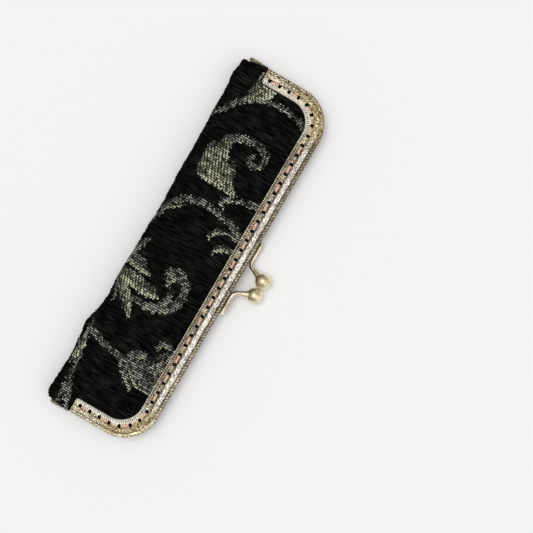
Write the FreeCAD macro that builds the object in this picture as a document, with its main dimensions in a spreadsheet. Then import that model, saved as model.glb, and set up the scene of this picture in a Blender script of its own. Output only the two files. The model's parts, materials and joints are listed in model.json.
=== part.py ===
import FreeCAD, Part
import math
import os

import Sketcher

# Driving dimensions of the pen case in millimetres, apart from the names that end in count.
DIMENSIONS = {
    # overall plan
    "frame_length": 185.0,
    "case_depth": 50.0,
    "leg_reach": 37.4,
    "hinge_lead": 7.7,
    "outer_corner": 17.7,
    "inner_corner": 11.0,
    # stamped frame channel
    "half_height": 6.2,
    "parting_gap": 0.2,
    "frame_sheet": 0.7,
    "rail_face": 9.0,
    "leg_face": 7.6,
    "lip_width": 2.0,
    "shoulder_radius": 1.1,
    "leg_tip_radius": 1.4,
    "ridge_rise": 0.9,
    "ridge_rail_inset": 1.9,
    "ridge_leg_inset": 1.2,
    "ridge_rail_width": 2.8,
    "ridge_leg_width": 2.5,
    "ridge_radius": 0.8,
    # sewing holes and stitches
    "hole_count": 44,
    "hole_diameter": 1.8,
    "hole_rail_inset": 6.0,
    "hole_leg_inset": 4.9,
    "hole_corner": 12.6,
    "first_hole": 3.3,
    "stitch_thickness": 0.8,
    "stitch_bend": 0.3,
    "stitch_clearance": 0.05,
    # hinge
    "tab_radius": 2.8,
    "tab_root_low": 1.5,
    "tab_root_high": 3.8,
    "tab_overlap": 0.6,
    "tab_joggle": 1.5,
    "rivet_diameter": 2.0,
    "rivet_head_diameter": 3.6,
    "rivet_head_height": 0.5,
    "rivet_head_edge": 0.35,
    "running_clearance": 0.05,
    # ball clasp
    "ball_diameter": 7.5,
    "ball_gap": 0.2,
    "ball_reach": 10.1,
    "ball_crossing": 0.5,
    "clasp_offset": 1.4,
    "stem_diameter": 2.1,
    "stem_flat": 0.1,
    "stem_level": 2.0,
    "stem_bend": 3.2,
    "foot_reach": 18.9,
    "foot_bend_reach": 9.6,
    "collar_diameter": 3.6,
    "collar_tip_diameter": 2.4,
    "collar_length": 2.6,
    "collar_seat": 0.5,
    # cloth layers
    "cover_cloth": 0.9,
    "padding_cloth": 0.8,
    "lining_cloth": 0.4,
    "layer_gap": 0.1,
    "cloth_margin": 1.7,
    "cloth_lead": 0.8,
    "crown_inset": 5.4,
    "front_crown": 5.0,
    "rear_press": 0.35,
    "spine_lead": 6.2,
    # clearance of cutting tools past the metal
    "overrun": 2.0,
}

# Where the cloth sections stand along the crowned length, and how high the crown still is at the spine.
CROWN_SECTION_SHARES = (-1.0, -0.9, -0.7, -0.4, 0.0, 0.4, 0.7, 0.9, 1.0)
SPINE_HEIGHT_SHARE = 0.8

doc = FreeCAD.newDocument("pen_case")
sheet = doc.addObject("Spreadsheet::Sheet", "Sizes")
for row, (alias, number) in enumerate(DIMENSIONS.items(), start=1):
    sheet.set("A%d" % row, alias)
    sheet.set("B%d" % row, str(number))
    sheet.setAlias("B%d" % row, alias)
doc.recompute()


class Size:
    """A length as a number, together with the sheet expression that gives it."""

    def __init__(self, value, text):
        self.value = value
        self.text = text

    def joined(self, other, sign, value):
        other_text = other.text if isinstance(other, Size) else str(other)
        return Size(value, "(%s %s %s)" % (self.text, sign, other_text))

    def __add__(self, other):
        return self.joined(other, "+", self.value + other.value)

    def __sub__(self, other):
        return self.joined(other, "-", self.value - other.value)

    def __mul__(self, factor):
        return self.joined(factor, "*", self.value * factor)

    def __truediv__(self, factor):
        return self.joined(factor, "/", self.value / factor)

    def __neg__(self):
        return Size(-self.value, "(-%s)" % self.text)


def size(alias):
    return Size(float(sheet.get(alias)), "Sizes.%s" % alias)


# Places that several pieces share. X runs along the case, the clasp is at -Y and the fold at +Y.
half_length = size("frame_length") / 2
ball_radius = size("ball_diameter") / 2
overall_depth = size("case_depth") + size("ball_reach") + ball_radius
fold_line = overall_depth / 2
rail_edge = fold_line - size("case_depth")
leg_tip = rail_edge + size("leg_reach")
hinge_line = leg_tip + size("hinge_lead")
spine_join = hinge_line - size("spine_lead")
overrun = size("overrun")
sheet_metal = size("frame_sheet")
parting = size("parting_gap") / 2
half_height = size("half_height")
flange_level = half_height - size("ridge_rise")
flange_under = flange_level - sheet_metal
rivet_radius = size("rivet_diameter") / 2
stem_radius = size("stem_diameter") / 2
tuck_level = flange_under - size("layer_gap")
rear_crown = half_height - tuck_level + size("rear_press")
X_AXIS = FreeCAD.Vector(1, 0, 0)
Y_AXIS = FreeCAD.Vector(0, 1, 0)
Z_AXIS = FreeCAD.Vector(0, 0, 1)
SAME_PLACE = 1e-6


def bind(item, name, length):
    item.setExpression(name, length.text)


# Sketches

def sketch_on(body, name, role, lift=None):
    sketch = body.newObject("Sketcher::SketchObject", name)
    plane = [item for item in body.Origin.OriginFeatures if item.Role == role][0]
    sketch.AttachmentSupport = [(plane, "")]
    sketch.MapMode = "FlatFace"
    if lift is not None:
        bind(sketch, "AttachmentOffset.Base.z", lift)
    return sketch


def fix(sketch, constraint, length):
    index = sketch.addConstraint(constraint)
    bind(sketch, "Constraints[%d]" % index, length)


def fix_point(sketch, edge, end, across, up):
    """Fixes an edge's end; a missing coordinate puts the end on that axis."""
    horizontal_axis, vertical_axis = -1, -2
    if across is None:
        sketch.addConstraint(Sketcher.Constraint("PointOnObject", edge, end, vertical_axis))
    else:
        fix(sketch, Sketcher.Constraint("DistanceX", edge, end, across.value), across)
    if up is None:
        sketch.addConstraint(Sketcher.Constraint("PointOnObject", edge, end, horizontal_axis))
    else:
        fix(sketch, Sketcher.Constraint("DistanceY", edge, end, up.value), up)


def point(across, up):
    return FreeCAD.Vector(across.value if across else 0, up.value if up else 0, 0)


def draw_outline(sketch, corners):
    """Closes a polygon through corners given as pairs of lengths, or None for a place on an axis."""
    first = sketch.GeometryCount
    count = len(corners)
    for index in range(count):
        ends = point(*corners[index]), point(*corners[(index + 1) % count])
        sketch.addGeometry(Part.LineSegment(*ends), False)
    for index in range(count):
        edge, following = first + index, first + (index + 1) % count
        sketch.addConstraint(Sketcher.Constraint("Coincident", edge, 2, following, 1))
        fix_point(sketch, edge, 1, *corners[index])


def draw_plan(sketch, half_width, near, far, corner):
    """Draws a rectangle across the case whose two corners at the clasp side are round."""
    first = sketch.GeometryCount
    right, bottom, left, top, right_arc, left_arc = range(first, first + 6)
    wide, low, high, round_by = half_width.value, near.value, far.value, corner.value
    at = FreeCAD.Vector
    for start, end in (
        (at(wide, high), at(wide, low + round_by)),
        (at(wide - round_by, low), at(round_by - wide, low)),
        (at(-wide, low + round_by), at(-wide, high)),
        (at(-wide, high), at(wide, high)),
    ):
        sketch.addGeometry(Part.LineSegment(start, end), False)
    for centre, turn in ((wide - round_by, -math.pi / 2), (round_by - wide, math.pi)):
        circle = Part.Circle(at(centre, low + round_by), Z_AXIS, round_by)
        sketch.addGeometry(Part.ArcOfCircle(circle, turn, turn + math.pi / 2), False)
    sketch.addConstraint([
        Sketcher.Constraint("Vertical", right),
        Sketcher.Constraint("Horizontal", bottom),
        Sketcher.Constraint("Vertical", left),
        Sketcher.Constraint("Horizontal", top),
        Sketcher.Constraint("Coincident", right, 1, top, 2),
        Sketcher.Constraint("Coincident", left, 2, top, 1),
        Sketcher.Constraint("Tangent", right, 2, right_arc, 2),
        Sketcher.Constraint("Tangent", right_arc, 1, bottom, 1),
        Sketcher.Constraint("Tangent", bottom, 2, left_arc, 2),
        Sketcher.Constraint("Tangent", left_arc, 1, left, 1),
        Sketcher.Constraint("Equal", right_arc, left_arc),
    ])
    fix(sketch, Sketcher.Constraint("DistanceX", right, 1, wide), half_width)
    fix(sketch, Sketcher.Constraint("DistanceX", left, 1, -wide), -half_width)
    fix(sketch, Sketcher.Constraint("DistanceY", bottom, 1, low), near)
    fix(sketch, Sketcher.Constraint("DistanceY", top, 1, high), far)
    fix(sketch, Sketcher.Constraint("Radius", right_arc, round_by), corner)


# Body features

def new_body(name):
    return doc.addObject("PartDesign::Body", name)


def pad(body, name, sketch, length):
    feature = body.newObject("PartDesign::Pad", name)
    feature.Profile = sketch
    bind(feature, "Length", length)
    doc.recompute()
    return feature


def pocket_up(body, name, sketch, length):
    """Cuts from the sketch upwards, and checks that metal came away."""
    before = body.Shape.Volume
    feature = body.newObject("PartDesign::Pocket", name)
    feature.Profile = sketch
    feature.Reversed = True
    bind(feature, "Length", length)
    doc.recompute()
    if not feature.Shape.Volume < before:
        raise RuntimeError("%s cuts nothing" % name)
    return feature


def fillet(body, name, radius, chosen):
    """Rounds the edges of the body's last feature that chosen accepts."""
    base = body.Tip
    names = ["Edge%d" % (index + 1) for index, edge in enumerate(base.Shape.Edges) if chosen(edge)]
    feature = body.newObject("PartDesign::Fillet", name)
    feature.Base = (base, names)
    bind(feature, "Radius", radius)
    doc.recompute()
    return feature


def near_to(first, second):
    return abs(first - second) < SAME_PLACE


def lies_at_height(edge, height):
    box = edge.BoundBox
    return near_to(box.ZMin, height) and near_to(box.ZMax, height)


def runs_across_tip(edge):
    box = edge.BoundBox
    return near_to(box.YMin, leg_tip.value) and near_to(box.YMax, leg_tip.value)


# Frame halves, modelled face up with the parting plane at zero

def plan_sketch(body, name, lift, leg_inset, rail_inset, far, corner):
    sketch = sketch_on(body, name, "XY_Plane", lift)
    draw_plan(sketch, half_length - leg_inset, rail_edge + rail_inset, far, corner)
    return sketch


def inset_plan(body, name, lift, inset, far):
    corner = size("outer_corner") - inset
    return plan_sketch(body, name, lift, inset, inset, far, corner)


def ridge_plan(body, name, lift, leg_inset, rail_inset, far):
    corner = size("outer_corner") - rail_inset
    return plan_sketch(body, name, lift, leg_inset, rail_inset, far, corner)


def frame_block(body):
    sketch = sketch_on(body, "face_plan", "XY_Plane", parting)
    draw_plan(sketch, half_length, rail_edge, leg_tip, size("outer_corner"))
    pad(body, "face_block", sketch, flange_level - parting)
    fillet(body, "shoulder", size("shoulder_radius"), lambda edge: (
        lies_at_height(edge, flange_level.value) and not runs_across_tip(edge)))


def frame_ridge(body):
    """Raises the rounded moulding that carries the embossed vine."""
    leg_inset, rail_inset = size("ridge_leg_inset"), size("ridge_rail_inset")
    outer = ridge_plan(body, "ridge_plan", flange_level, leg_inset, rail_inset, leg_tip)
    pad(body, "ridge", outer, size("ridge_rise"))
    inner = ridge_plan(
        body, "ridge_inner_plan", flange_level, leg_inset + size("ridge_leg_width"),
        rail_inset + size("ridge_rail_width"), leg_tip + overrun)
    pocket_up(body, "ridge_inner", inner, size("ridge_rise"))
    fillet(body, "ridge_round", size("ridge_radius"), lambda edge: (
        lies_at_height(edge, half_height.value) and not runs_across_tip(edge)))


def frame_channel(body):
    """Opens the mouth that takes the cloth and leaves a narrow returned lip at the parting plane."""
    beyond = leg_tip + overrun
    window = plan_sketch(
        body, "window_plan", parting, size("leg_face"), size("rail_face"), beyond, size("inner_corner"))
    pocket_up(body, "window", window, half_height)
    lip_top = parting + sheet_metal
    mouth = inset_plan(body, "mouth_plan", lip_top, sheet_metal, beyond)
    pocket_up(body, "mouth", mouth, flange_under - lip_top)
    lip = inset_plan(body, "lip_plan", parting, size("lip_width"), beyond)
    pocket_up(body, "lip", lip, sheet_metal)
    leg_inset = size("ridge_leg_inset") + sheet_metal
    rail_inset = size("ridge_rail_inset") + sheet_metal
    hollow = ridge_plan(body, "ridge_hollow_plan", flange_under, leg_inset, rail_inset, beyond + overrun)
    leg_inner = leg_inset + size("ridge_leg_width") - sheet_metal * 2
    rail_inner = rail_inset + size("ridge_rail_width") - sheet_metal * 2
    draw_plan(
        hollow, half_length - leg_inner, rail_edge + rail_inner, beyond, size("outer_corner") - rail_inner)
    pocket_up(body, "ridge_hollow", hollow, size("ridge_rise"))


def round_leg_tips(body):
    tip_place = (half_length - size("leg_face")).value

    def is_tip_corner(edge):
        box = edge.BoundBox
        return (
            runs_across_tip(edge) and near_to(abs(box.XMin), tip_place) and near_to(box.XMin, box.XMax)
            and near_to(box.ZMax, flange_level.value))

    fillet(body, "leg_tips", size("leg_tip_radius"), is_tip_corner)


def draw_tab(sketch, bore):
    """Draws a hinge plate from the leg's wall to an eye round the rivet."""
    root = leg_tip - size("tab_overlap")
    low, high = size("tab_root_low"), size("tab_root_high")
    eye = size("tab_radius")
    centre = FreeCAD.Vector(hinge_line.value, 0, 0)
    upper = centre + FreeCAD.Vector(0, eye.value, 0)
    lower = centre - FreeCAD.Vector(0, eye.value, 0)
    back, top, arc, bottom, hole = range(5)
    sketch.addGeometry(Part.LineSegment(point(root, low), point(root, high)), False)
    sketch.addGeometry(Part.LineSegment(point(root, high), upper), False)
    sketch.addGeometry(
        Part.ArcOfCircle(Part.Circle(centre, Z_AXIS, eye.value), -math.pi / 2, math.pi / 2), False)
    sketch.addGeometry(Part.LineSegment(lower, point(root, low)), False)
    sketch.addGeometry(Part.Circle(centre, Z_AXIS, bore.value), False)
    sketch.addConstraint([
        Sketcher.Constraint("Coincident", back, 2, top, 1),
        Sketcher.Constraint("Tangent", top, 2, arc, 2),
        Sketcher.Constraint("Tangent", arc, 1, bottom, 1),
        Sketcher.Constraint("Coincident", bottom, 2, back, 1),
        Sketcher.Constraint("Coincident", hole, 3, arc, 3),
    ])
    fix_point(sketch, back, 1, root, low)
    fix_point(sketch, back, 2, root, high)
    fix_point(sketch, arc, 3, hinge_line, None)
    fix(sketch, Sketcher.Constraint("Radius", arc, eye.value), eye)
    fix(sketch, Sketcher.Constraint("Radius", hole, bore.value), bore)


def straight_tabs(body):
    """Carries each leg's wall straight on to the hinge, with room to turn on the rivet."""
    for side, lift in (("right", half_length - sheet_metal), ("left", -half_length)):
        sketch = sketch_on(body, side + "_tab_plan", "YZ_Plane", lift)
        draw_tab(sketch, rivet_radius + size("running_clearance"))
        pad(body, side + "_tab", sketch, sheet_metal)


def joggled_tabs(body):
    """Steps each leg's wall outwards by one sheet, so that it laps the other half's tab."""
    for side, sign, lift in (("right", 1, half_length - sheet_metal), ("left", -1, -half_length - sheet_metal)):
        sketch = sketch_on(body, side + "_tab_plan", "YZ_Plane", lift)
        draw_tab(sketch, rivet_radius)
        pad(body, side + "_tab", sketch, sheet_metal * 2)
        inside = (half_length - sheet_metal) * sign
        middle = half_length * sign
        outside = (half_length + sheet_metal) * sign
        past_inside = (half_length - sheet_metal - overrun) * sign
        past_outside = (half_length + sheet_metal + overrun) * sign
        bent = leg_tip + size("tab_joggle")
        past_eye = hinge_line + size("tab_radius") + overrun
        before_root = leg_tip - size("tab_overlap") - overrun
        trim = sketch_on(body, side + "_tab_trim", "XY_Plane", -half_height)
        draw_outline(trim, (
            (middle, before_root), (middle, leg_tip), (outside, bent), (past_outside, bent),
            (past_outside, before_root)))
        draw_outline(trim, (
            (inside, leg_tip), (middle, bent), (middle, past_eye), (past_inside, past_eye),
            (past_inside, leg_tip)))
        pocket_up(body, side + "_tab_step", trim, half_height * 2)


def hole_places():
    """Spaces the sewing holes evenly along one leg, round the corner, along the rail and back."""
    leg_x = (half_length - size("hole_leg_inset")).value
    rail_y = (rail_edge + size("hole_rail_inset")).value
    turn = size("hole_corner").value
    straight = (leg_tip - size("first_hole")).value - rail_y - turn
    quarter = turn * math.pi / 2
    rail = 2 * (leg_x - turn)
    count = int(sheet.get("hole_count"))
    step = (2 * straight + 2 * quarter + rail) / (count - 1)
    places = []
    for index in range(count // 2):
        travel = index * step
        if travel < straight:
            places.append((-leg_x, rail_y + turn + straight - travel))
        elif travel < straight + quarter:
            angle = (travel - straight) / turn
            places.append((turn - leg_x - turn * math.cos(angle), rail_y + turn - turn * math.sin(angle)))
        else:
            places.append((turn - leg_x + travel - straight - quarter, rail_y))
    return places + [(-across, along) for across, along in reversed(places)]


def sewing_holes(name):
    radius = size("hole_diameter").value / 2
    height = half_height.value
    holes = [
        Part.makeCylinder(radius, height, FreeCAD.Vector(across, along, flange_under.value - parting.value))
        for across, along in hole_places()]
    tool = doc.addObject("Part::Feature", name)
    tool.Shape = Part.makeCompound(holes)
    return tool


def cut(name, base, tool):
    item = doc.addObject("Part::Cut", name)
    item.Base = base
    item.Tool = tool
    return item


def frame_half(name, add_tabs):
    body = new_body(name + "_blank")
    frame_block(body)
    frame_ridge(body)
    frame_channel(body)
    round_leg_tips(body)
    add_tabs(body)
    return cut(name, body, sewing_holes(name + "_holes"))


# Hinge rivets, turned about the hinge axis

def rivet(name):
    body = new_body(name)
    head = size("rivet_head_diameter") / 2
    inner_seat = half_length - sheet_metal - size("running_clearance")
    outer_seat = half_length + sheet_metal
    inner_end = inner_seat - size("rivet_head_height")
    outer_end = outer_seat + size("rivet_head_height")
    edge = size("rivet_head_edge")
    sketch = sketch_on(body, "profile", "XY_Plane")
    draw_outline(sketch, (
        (inner_end, None), (inner_end, head - edge), (inner_end + edge, head), (inner_seat, head),
        (inner_seat, rivet_radius), (outer_seat, rivet_radius),
        (outer_seat, head), (outer_end - edge, head), (outer_end, head - edge), (outer_end, None)))
    turned = body.newObject("PartDesign::Revolution", "turned")
    turned.Profile = sketch
    turned.ReferenceAxis = (sketch, ["H_Axis"])
    return body


# Ball clasp, modelled on the frame half that carries it

ball_drop = size("stem_level") + size("ball_crossing")
foot_seat = stem_radius - size("stem_flat")
ball_run = size("ball_reach") - foot_seat
stem_run = Size(
    math.hypot(ball_drop.value, ball_run.value),
    "sqrt(%s ^ 2 + %s ^ 2)" % (ball_drop.text, ball_run.text))
stem_tilt = FreeCAD.Rotation(X_AXIS, math.degrees(math.atan2(ball_drop.value, ball_run.value)))
stem_seat = FreeCAD.Placement(
    FreeCAD.Vector(0, (rail_edge - foot_seat).value, size("stem_level").value), stem_tilt)
ball_aside = (size("ball_diameter") + size("ball_gap")) / 2


def stem_direction():
    """Gives the stem's straight end in its own plane, from the bend towards the ball."""
    bend = size("stem_bend").value
    across = size("foot_bend_reach").value - ball_aside.value
    down = stem_run.value - bend
    reach = math.sqrt(across ** 2 + down ** 2 - bend ** 2)
    angle = math.atan2(down, across) + math.atan2(bend, reach)
    return FreeCAD.Vector(math.cos(angle), -math.sin(angle), 0)


def draw_stem(sketch, centre):
    """Draws the wire's middle line: a foot, one bend and a straight end to the ball's centre."""
    bend = size("stem_bend")
    foot = centre - size("foot_reach")
    turn = centre - size("foot_bend_reach")
    ball = centre - ball_aside
    direction = stem_direction()
    arc_centre = FreeCAD.Vector(turn.value, -bend.value, 0)
    arc_stop = math.pi / 2 - math.atan2(-direction.y, direction.x)
    circle = Part.Circle(arc_centre, Z_AXIS, bend.value)
    arc_end = arc_centre + FreeCAD.Vector(math.cos(arc_stop), math.sin(arc_stop), 0) * bend.value
    run, arc, end = range(3)
    sketch.addGeometry(Part.LineSegment(point(foot, None), point(turn, None)), False)
    sketch.addGeometry(Part.ArcOfCircle(circle, arc_stop, math.pi / 2), False)
    sketch.addGeometry(Part.LineSegment(arc_end, point(ball, -stem_run)), False)
    sketch.addConstraint([
        Sketcher.Constraint("Tangent", run, 2, arc, 2),
        Sketcher.Constraint("Tangent", arc, 1, end, 1),
    ])
    fix_point(sketch, run, 1, foot, None)
    fix_point(sketch, run, 2, turn, None)
    fix_point(sketch, end, 2, ball, -stem_run)
    fix(sketch, Sketcher.Constraint("Radius", arc, bend.value), bend)


def clasp_stem(name, centre):
    """Sweeps the clasp wire and flattens its foot against the rail's wall."""
    body = new_body(name + "_wire")
    path = sketch_on(body, "path", "XY_Plane")
    draw_stem(path, centre)
    section = sketch_on(body, "section", "YZ_Plane", centre - size("foot_reach"))
    section.addGeometry(Part.Circle(FreeCAD.Vector(), Z_AXIS, stem_radius.value), False)
    section.addConstraint(Sketcher.Constraint("Coincident", 0, 3, -1, 1))
    fix(section, Sketcher.Constraint("Radius", 0, stem_radius.value), stem_radius)
    doc.recompute()
    pipe = body.newObject("PartDesign::AdditivePipe", "wire")
    pipe.Profile = section
    pipe.Spine = (path, ["Edge1", "Edge2", "Edge3"])
    body.Placement = stem_seat
    wall = doc.addObject("Part::Box", name + "_wall")
    bind(wall, "Length", size("foot_reach") * 2)
    bind(wall, "Width", stem_radius)
    bind(wall, "Height", half_height)
    bind(wall, "Placement.Base.x", centre - size("foot_reach") * 2)
    bind(wall, "Placement.Base.y", rail_edge)
    return cut(name, body, wall)


def clasp_ball(name):
    """Turns a ball with a tapered collar, bored to its centre for the stem, which enters along +Z."""
    ball = doc.addObject("Part::Sphere", name + "_sphere")
    bind(ball, "Radius", ball_radius)
    collar = doc.addObject("Part::Cone", name + "_collar")
    bind(collar, "Radius1", size("collar_diameter") / 2)
    bind(collar, "Radius2", size("collar_tip_diameter") / 2)
    bind(collar, "Height", size("collar_length") + size("collar_seat"))
    bind(collar, "Placement.Base.z", ball_radius - size("collar_seat"))
    joined = doc.addObject("Part::Fuse", name + "_blank")
    joined.Base = ball
    joined.Tool = collar
    bore = doc.addObject("Part::Cylinder", name + "_bore")
    bind(bore, "Radius", stem_radius)
    bind(bore, "Height", ball_radius + size("collar_length") + overrun)
    return cut(name, joined, bore)


def ball_seat(centre):
    """Places a ball on the end of its stem."""
    local = FreeCAD.Vector((centre - ball_aside).value, -stem_run.value, 0)
    entry = stem_tilt.multVec(-stem_direction())
    return FreeCAD.Placement(stem_seat.multVec(local), FreeCAD.Rotation(Z_AXIS, entry))


# Stitches: each shows as one run of thread over two holes, with its ends going down to the cloth

def stitches(name):
    half = size("stitch_thickness").value / 2
    bend = size("stitch_bend").value
    face = flange_level.value + size("stitch_clearance").value
    top = face + 2 * half
    cloth = tuck_level.value
    places = hole_places()
    runs = []
    for first, second in zip(places[0::2], places[1::2]):
        start = FreeCAD.Vector(*first)
        along = FreeCAD.Vector(*second) - start
        reach = along.Length
        along.normalize()
        aside = Z_AXIS.cross(along) * half
        outline = (
            (-half, cloth), (-half, top - bend), (bend - half, top), (reach + half - bend, top),
            (reach + half, top - bend), (reach + half, cloth), (reach - half, cloth), (reach - half, face),
            (half, face), (half, cloth), (-half, cloth))
        corners = [start + along * travel + Z_AXIS * height - aside for travel, height in outline]
        runs.append(Part.Face(Part.makePolygon(corners)).extrude(aside * 2))
    item = doc.addObject("Part::Feature", name)
    item.Shape = Part.makeCompound(runs)
    return item


# Cloth layers: crowned panels tucked into the frame, and a fold that joins them behind the hinge

cloth_end = (half_length - size("cloth_margin")).value
crown_span = (half_length - size("leg_face") - size("crown_inset")).value
cloth_tuck = (rail_edge + size("cloth_margin")).value
crown_edge = (rail_edge + size("rail_face") + size("cloth_lead")).value
cloth_sections = [-cloth_end] + [crown_span * share for share in CROWN_SECTION_SHARES] + [cloth_end]


def crown_share(across):
    return math.sqrt(max(0, 1 - (across / crown_span) ** 2))


def edges_through(points_by_edge):
    """Makes a closed wire of lines (two points) and arcs (three points)."""
    edges = []
    for points in points_by_edge:
        straight = len(points) == 2
        curve = Part.LineSegment(*points) if straight else Part.Arc(*points)
        edges.append(curve.toShape())
    return Part.Wire(edges)


def panel_curve(across, crown, level):
    """Gives the points of one panel section from its tucked edge to the spine: a line, then an arc."""
    rise = crown * crown_share(across)
    join = spine_join.value
    middle = (crown_edge + join) / 2
    tuck = FreeCAD.Vector(across, cloth_tuck, level)
    edge = FreeCAD.Vector(across, crown_edge, level)
    top = FreeCAD.Vector(across, middle, level + rise)
    end = FreeCAD.Vector(across, join, level + rise * SPINE_HEIGHT_SHARE)
    arc = (edge, top, end) if rise > SAME_PLACE else (edge, end)
    return (tuck, edge), arc


def panel_section(across, crown, level, cloth):
    upper_line, upper_arc = panel_curve(across, crown, level)
    lower_line, lower_arc = panel_curve(across, crown, level - cloth)
    return edges_through((
        upper_line, upper_arc, (upper_arc[-1], lower_arc[-1]), lower_arc[::-1], lower_line[::-1],
        (lower_line[0], upper_line[0])))


def cloth_plan(name):
    """Rounds the cloth's corners to follow the inside of the frame."""
    body = new_body(name)
    margin = size("cloth_margin")
    sketch = inset_plan(body, "cloth_outline", parting, margin, spine_join)
    pad(body, "cloth_block", sketch, half_height + size("front_crown"))
    return body


def panel(name, plan, crown, drop, cloth):
    level = tuck_level.value - drop
    raw = doc.addObject("Part::Feature", name + "_sheet")
    raw.Shape = Part.makeLoft(
        [panel_section(across, crown, level, cloth) for across in cloth_sections], True, True)
    item = doc.addObject("Part::Common", name)
    item.Base = raw
    item.Tool = plan
    return item


def flattened(name, sheet_item):
    """Presses the underside flat in the plane of the frame's ridge, where the case rests."""
    table = doc.addObject("Part::Box", name + "_table")
    bind(table, "Length", size("frame_length"))
    bind(table, "Width", size("case_depth"))
    bind(table, "Height", half_height)
    bind(table, "Placement.Base.x", -half_length)
    bind(table, "Placement.Base.y", rail_edge)
    bind(table, "Placement.Base.z", half_height)
    return cut(name, sheet_item, table)


def fold_arc(across, height, fold):
    """Gives an arc that leaves the panel level and turns down or up to the fold line."""
    join = spine_join.value
    reach = fold - join
    radius = (reach ** 2 + height ** 2) / (2 * height)
    finish = math.asin(reach / radius)
    middle = FreeCAD.Vector(
        across, join + radius * math.sin(finish / 2), height - radius * (1 - math.cos(finish / 2)))
    return FreeCAD.Vector(across, join, height), middle, FreeCAD.Vector(across, fold, 0)


def fold_section(across, drop, cloth):
    fold = fold_line.value
    rise = crown_share(across) * SPINE_HEIGHT_SHARE
    front = tuck_level.value + size("front_crown").value * rise
    rear = -tuck_level.value - rear_crown.value * rise
    inner = drop + cloth
    outer_front = fold_arc(across, front - drop, fold - drop)
    outer_rear = fold_arc(across, rear + drop, fold - drop)
    inner_front = fold_arc(across, front - inner, fold - inner)
    inner_rear = fold_arc(across, rear + inner, fold - inner)
    return edges_through((
        outer_front, outer_rear[::-1], (outer_rear[0], inner_rear[0]), inner_rear, inner_front[::-1],
        (inner_front[0], outer_front[0])))


def spine(name, drop, cloth):
    item = doc.addObject("Part::Feature", name)
    item.Shape = Part.makeLoft([fold_section(across, drop, cloth) for across in cloth_sections], True, True)
    return item


# Assembly

closed_level = FreeCAD.Vector(0, 0, half_height.value)
front_side = FreeCAD.Placement(closed_level, FreeCAD.Rotation())
rear_side = FreeCAD.Placement(closed_level, FreeCAD.Rotation(Y_AXIS, 180))
hinge_place = closed_level + Y_AXIS * hinge_line.value
subparts = []


def place(item, placement):
    item.Placement = placement
    subparts.append(item)


cover_drop = 0.0
padding_drop = (size("cover_cloth") + size("layer_gap")).value
lining_drop = padding_drop + (size("padding_cloth") + size("layer_gap")).value
layers = (
    ("cover", cover_drop, size("cover_cloth").value),
    ("padding", padding_drop, size("padding_cloth").value),
    ("lining", lining_drop, size("lining_cloth").value),
)
cloth_block = cloth_plan("cloth_plan")

for side, placement, tabs, crown, centre in (
    ("front", front_side, straight_tabs, size("front_crown"), size("clasp_offset")),
    ("rear", rear_side, joggled_tabs, rear_crown, -size("clasp_offset")),
):
    place(frame_half(side + "_frame", tabs), placement)
    place(clasp_stem(side + "_clasp_stem", centre), placement)
    place(clasp_ball(side + "_clasp_ball"), placement.multiply(ball_seat(centre)))
    place(stitches(side + "_stitches"), placement)
    for layer, drop, cloth in layers:
        name = "%s_%s" % (side, layer)
        pressed = side == "rear" and layer == "cover"
        laid = panel(name + "_laid" if pressed else name, cloth_block, crown.value, drop, cloth)
        place(flattened(name, laid) if pressed else laid, placement)

for layer, drop, cloth in layers:
    place(spine("spine_" + layer, drop, cloth), front_side)

for side, outwards in (("right", X_AXIS), ("left", -X_AXIS)):
    place(rivet(side + "_hinge_rivet"), FreeCAD.Placement(hinge_place, FreeCAD.Rotation(X_AXIS, outwards)))

doc.recompute()
for item in doc.Objects:
    if "Invalid" in item.State or "Error" in item.State:
        raise RuntimeError("%s failed: %s" % (item.Label, item.State))
for item in subparts:
    if item.Shape.isNull() or not item.Shape.isValid():
        raise RuntimeError("%s has no valid shape" % item.Label)

os.makedirs("parts", exist_ok=True)
for item in subparts:
    item.Shape.exportStep(os.path.join("parts", item.Label + ".step"))
    print("%-20s %2d solids %9.2f mm3" % (item.Label, len(item.Shape.Solids), item.Shape.Volume))
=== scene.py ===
import json
import math

import bmesh
import bpy
import numpy as np
from mathutils import Matrix, Vector, noise


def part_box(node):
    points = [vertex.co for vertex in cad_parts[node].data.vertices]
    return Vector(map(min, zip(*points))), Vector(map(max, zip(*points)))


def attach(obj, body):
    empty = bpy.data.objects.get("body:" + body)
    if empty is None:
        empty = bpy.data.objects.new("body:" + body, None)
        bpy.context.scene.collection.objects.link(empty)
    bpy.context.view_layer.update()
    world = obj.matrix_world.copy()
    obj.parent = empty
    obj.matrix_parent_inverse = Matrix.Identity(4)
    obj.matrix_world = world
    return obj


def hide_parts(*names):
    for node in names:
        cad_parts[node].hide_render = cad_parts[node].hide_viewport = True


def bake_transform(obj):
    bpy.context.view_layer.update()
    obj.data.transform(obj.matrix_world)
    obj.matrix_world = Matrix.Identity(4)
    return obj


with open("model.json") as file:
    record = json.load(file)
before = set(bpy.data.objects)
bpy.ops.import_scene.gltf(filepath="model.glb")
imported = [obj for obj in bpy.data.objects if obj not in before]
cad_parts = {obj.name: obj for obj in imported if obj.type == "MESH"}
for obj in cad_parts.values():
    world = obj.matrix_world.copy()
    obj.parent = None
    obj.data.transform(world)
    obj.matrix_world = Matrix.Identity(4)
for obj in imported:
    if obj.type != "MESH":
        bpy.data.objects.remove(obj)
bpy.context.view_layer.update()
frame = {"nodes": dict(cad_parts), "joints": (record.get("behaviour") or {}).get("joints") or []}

mm = 0.001    # pieces are shaped in millimetres and scaled to metres when they are finished

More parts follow.
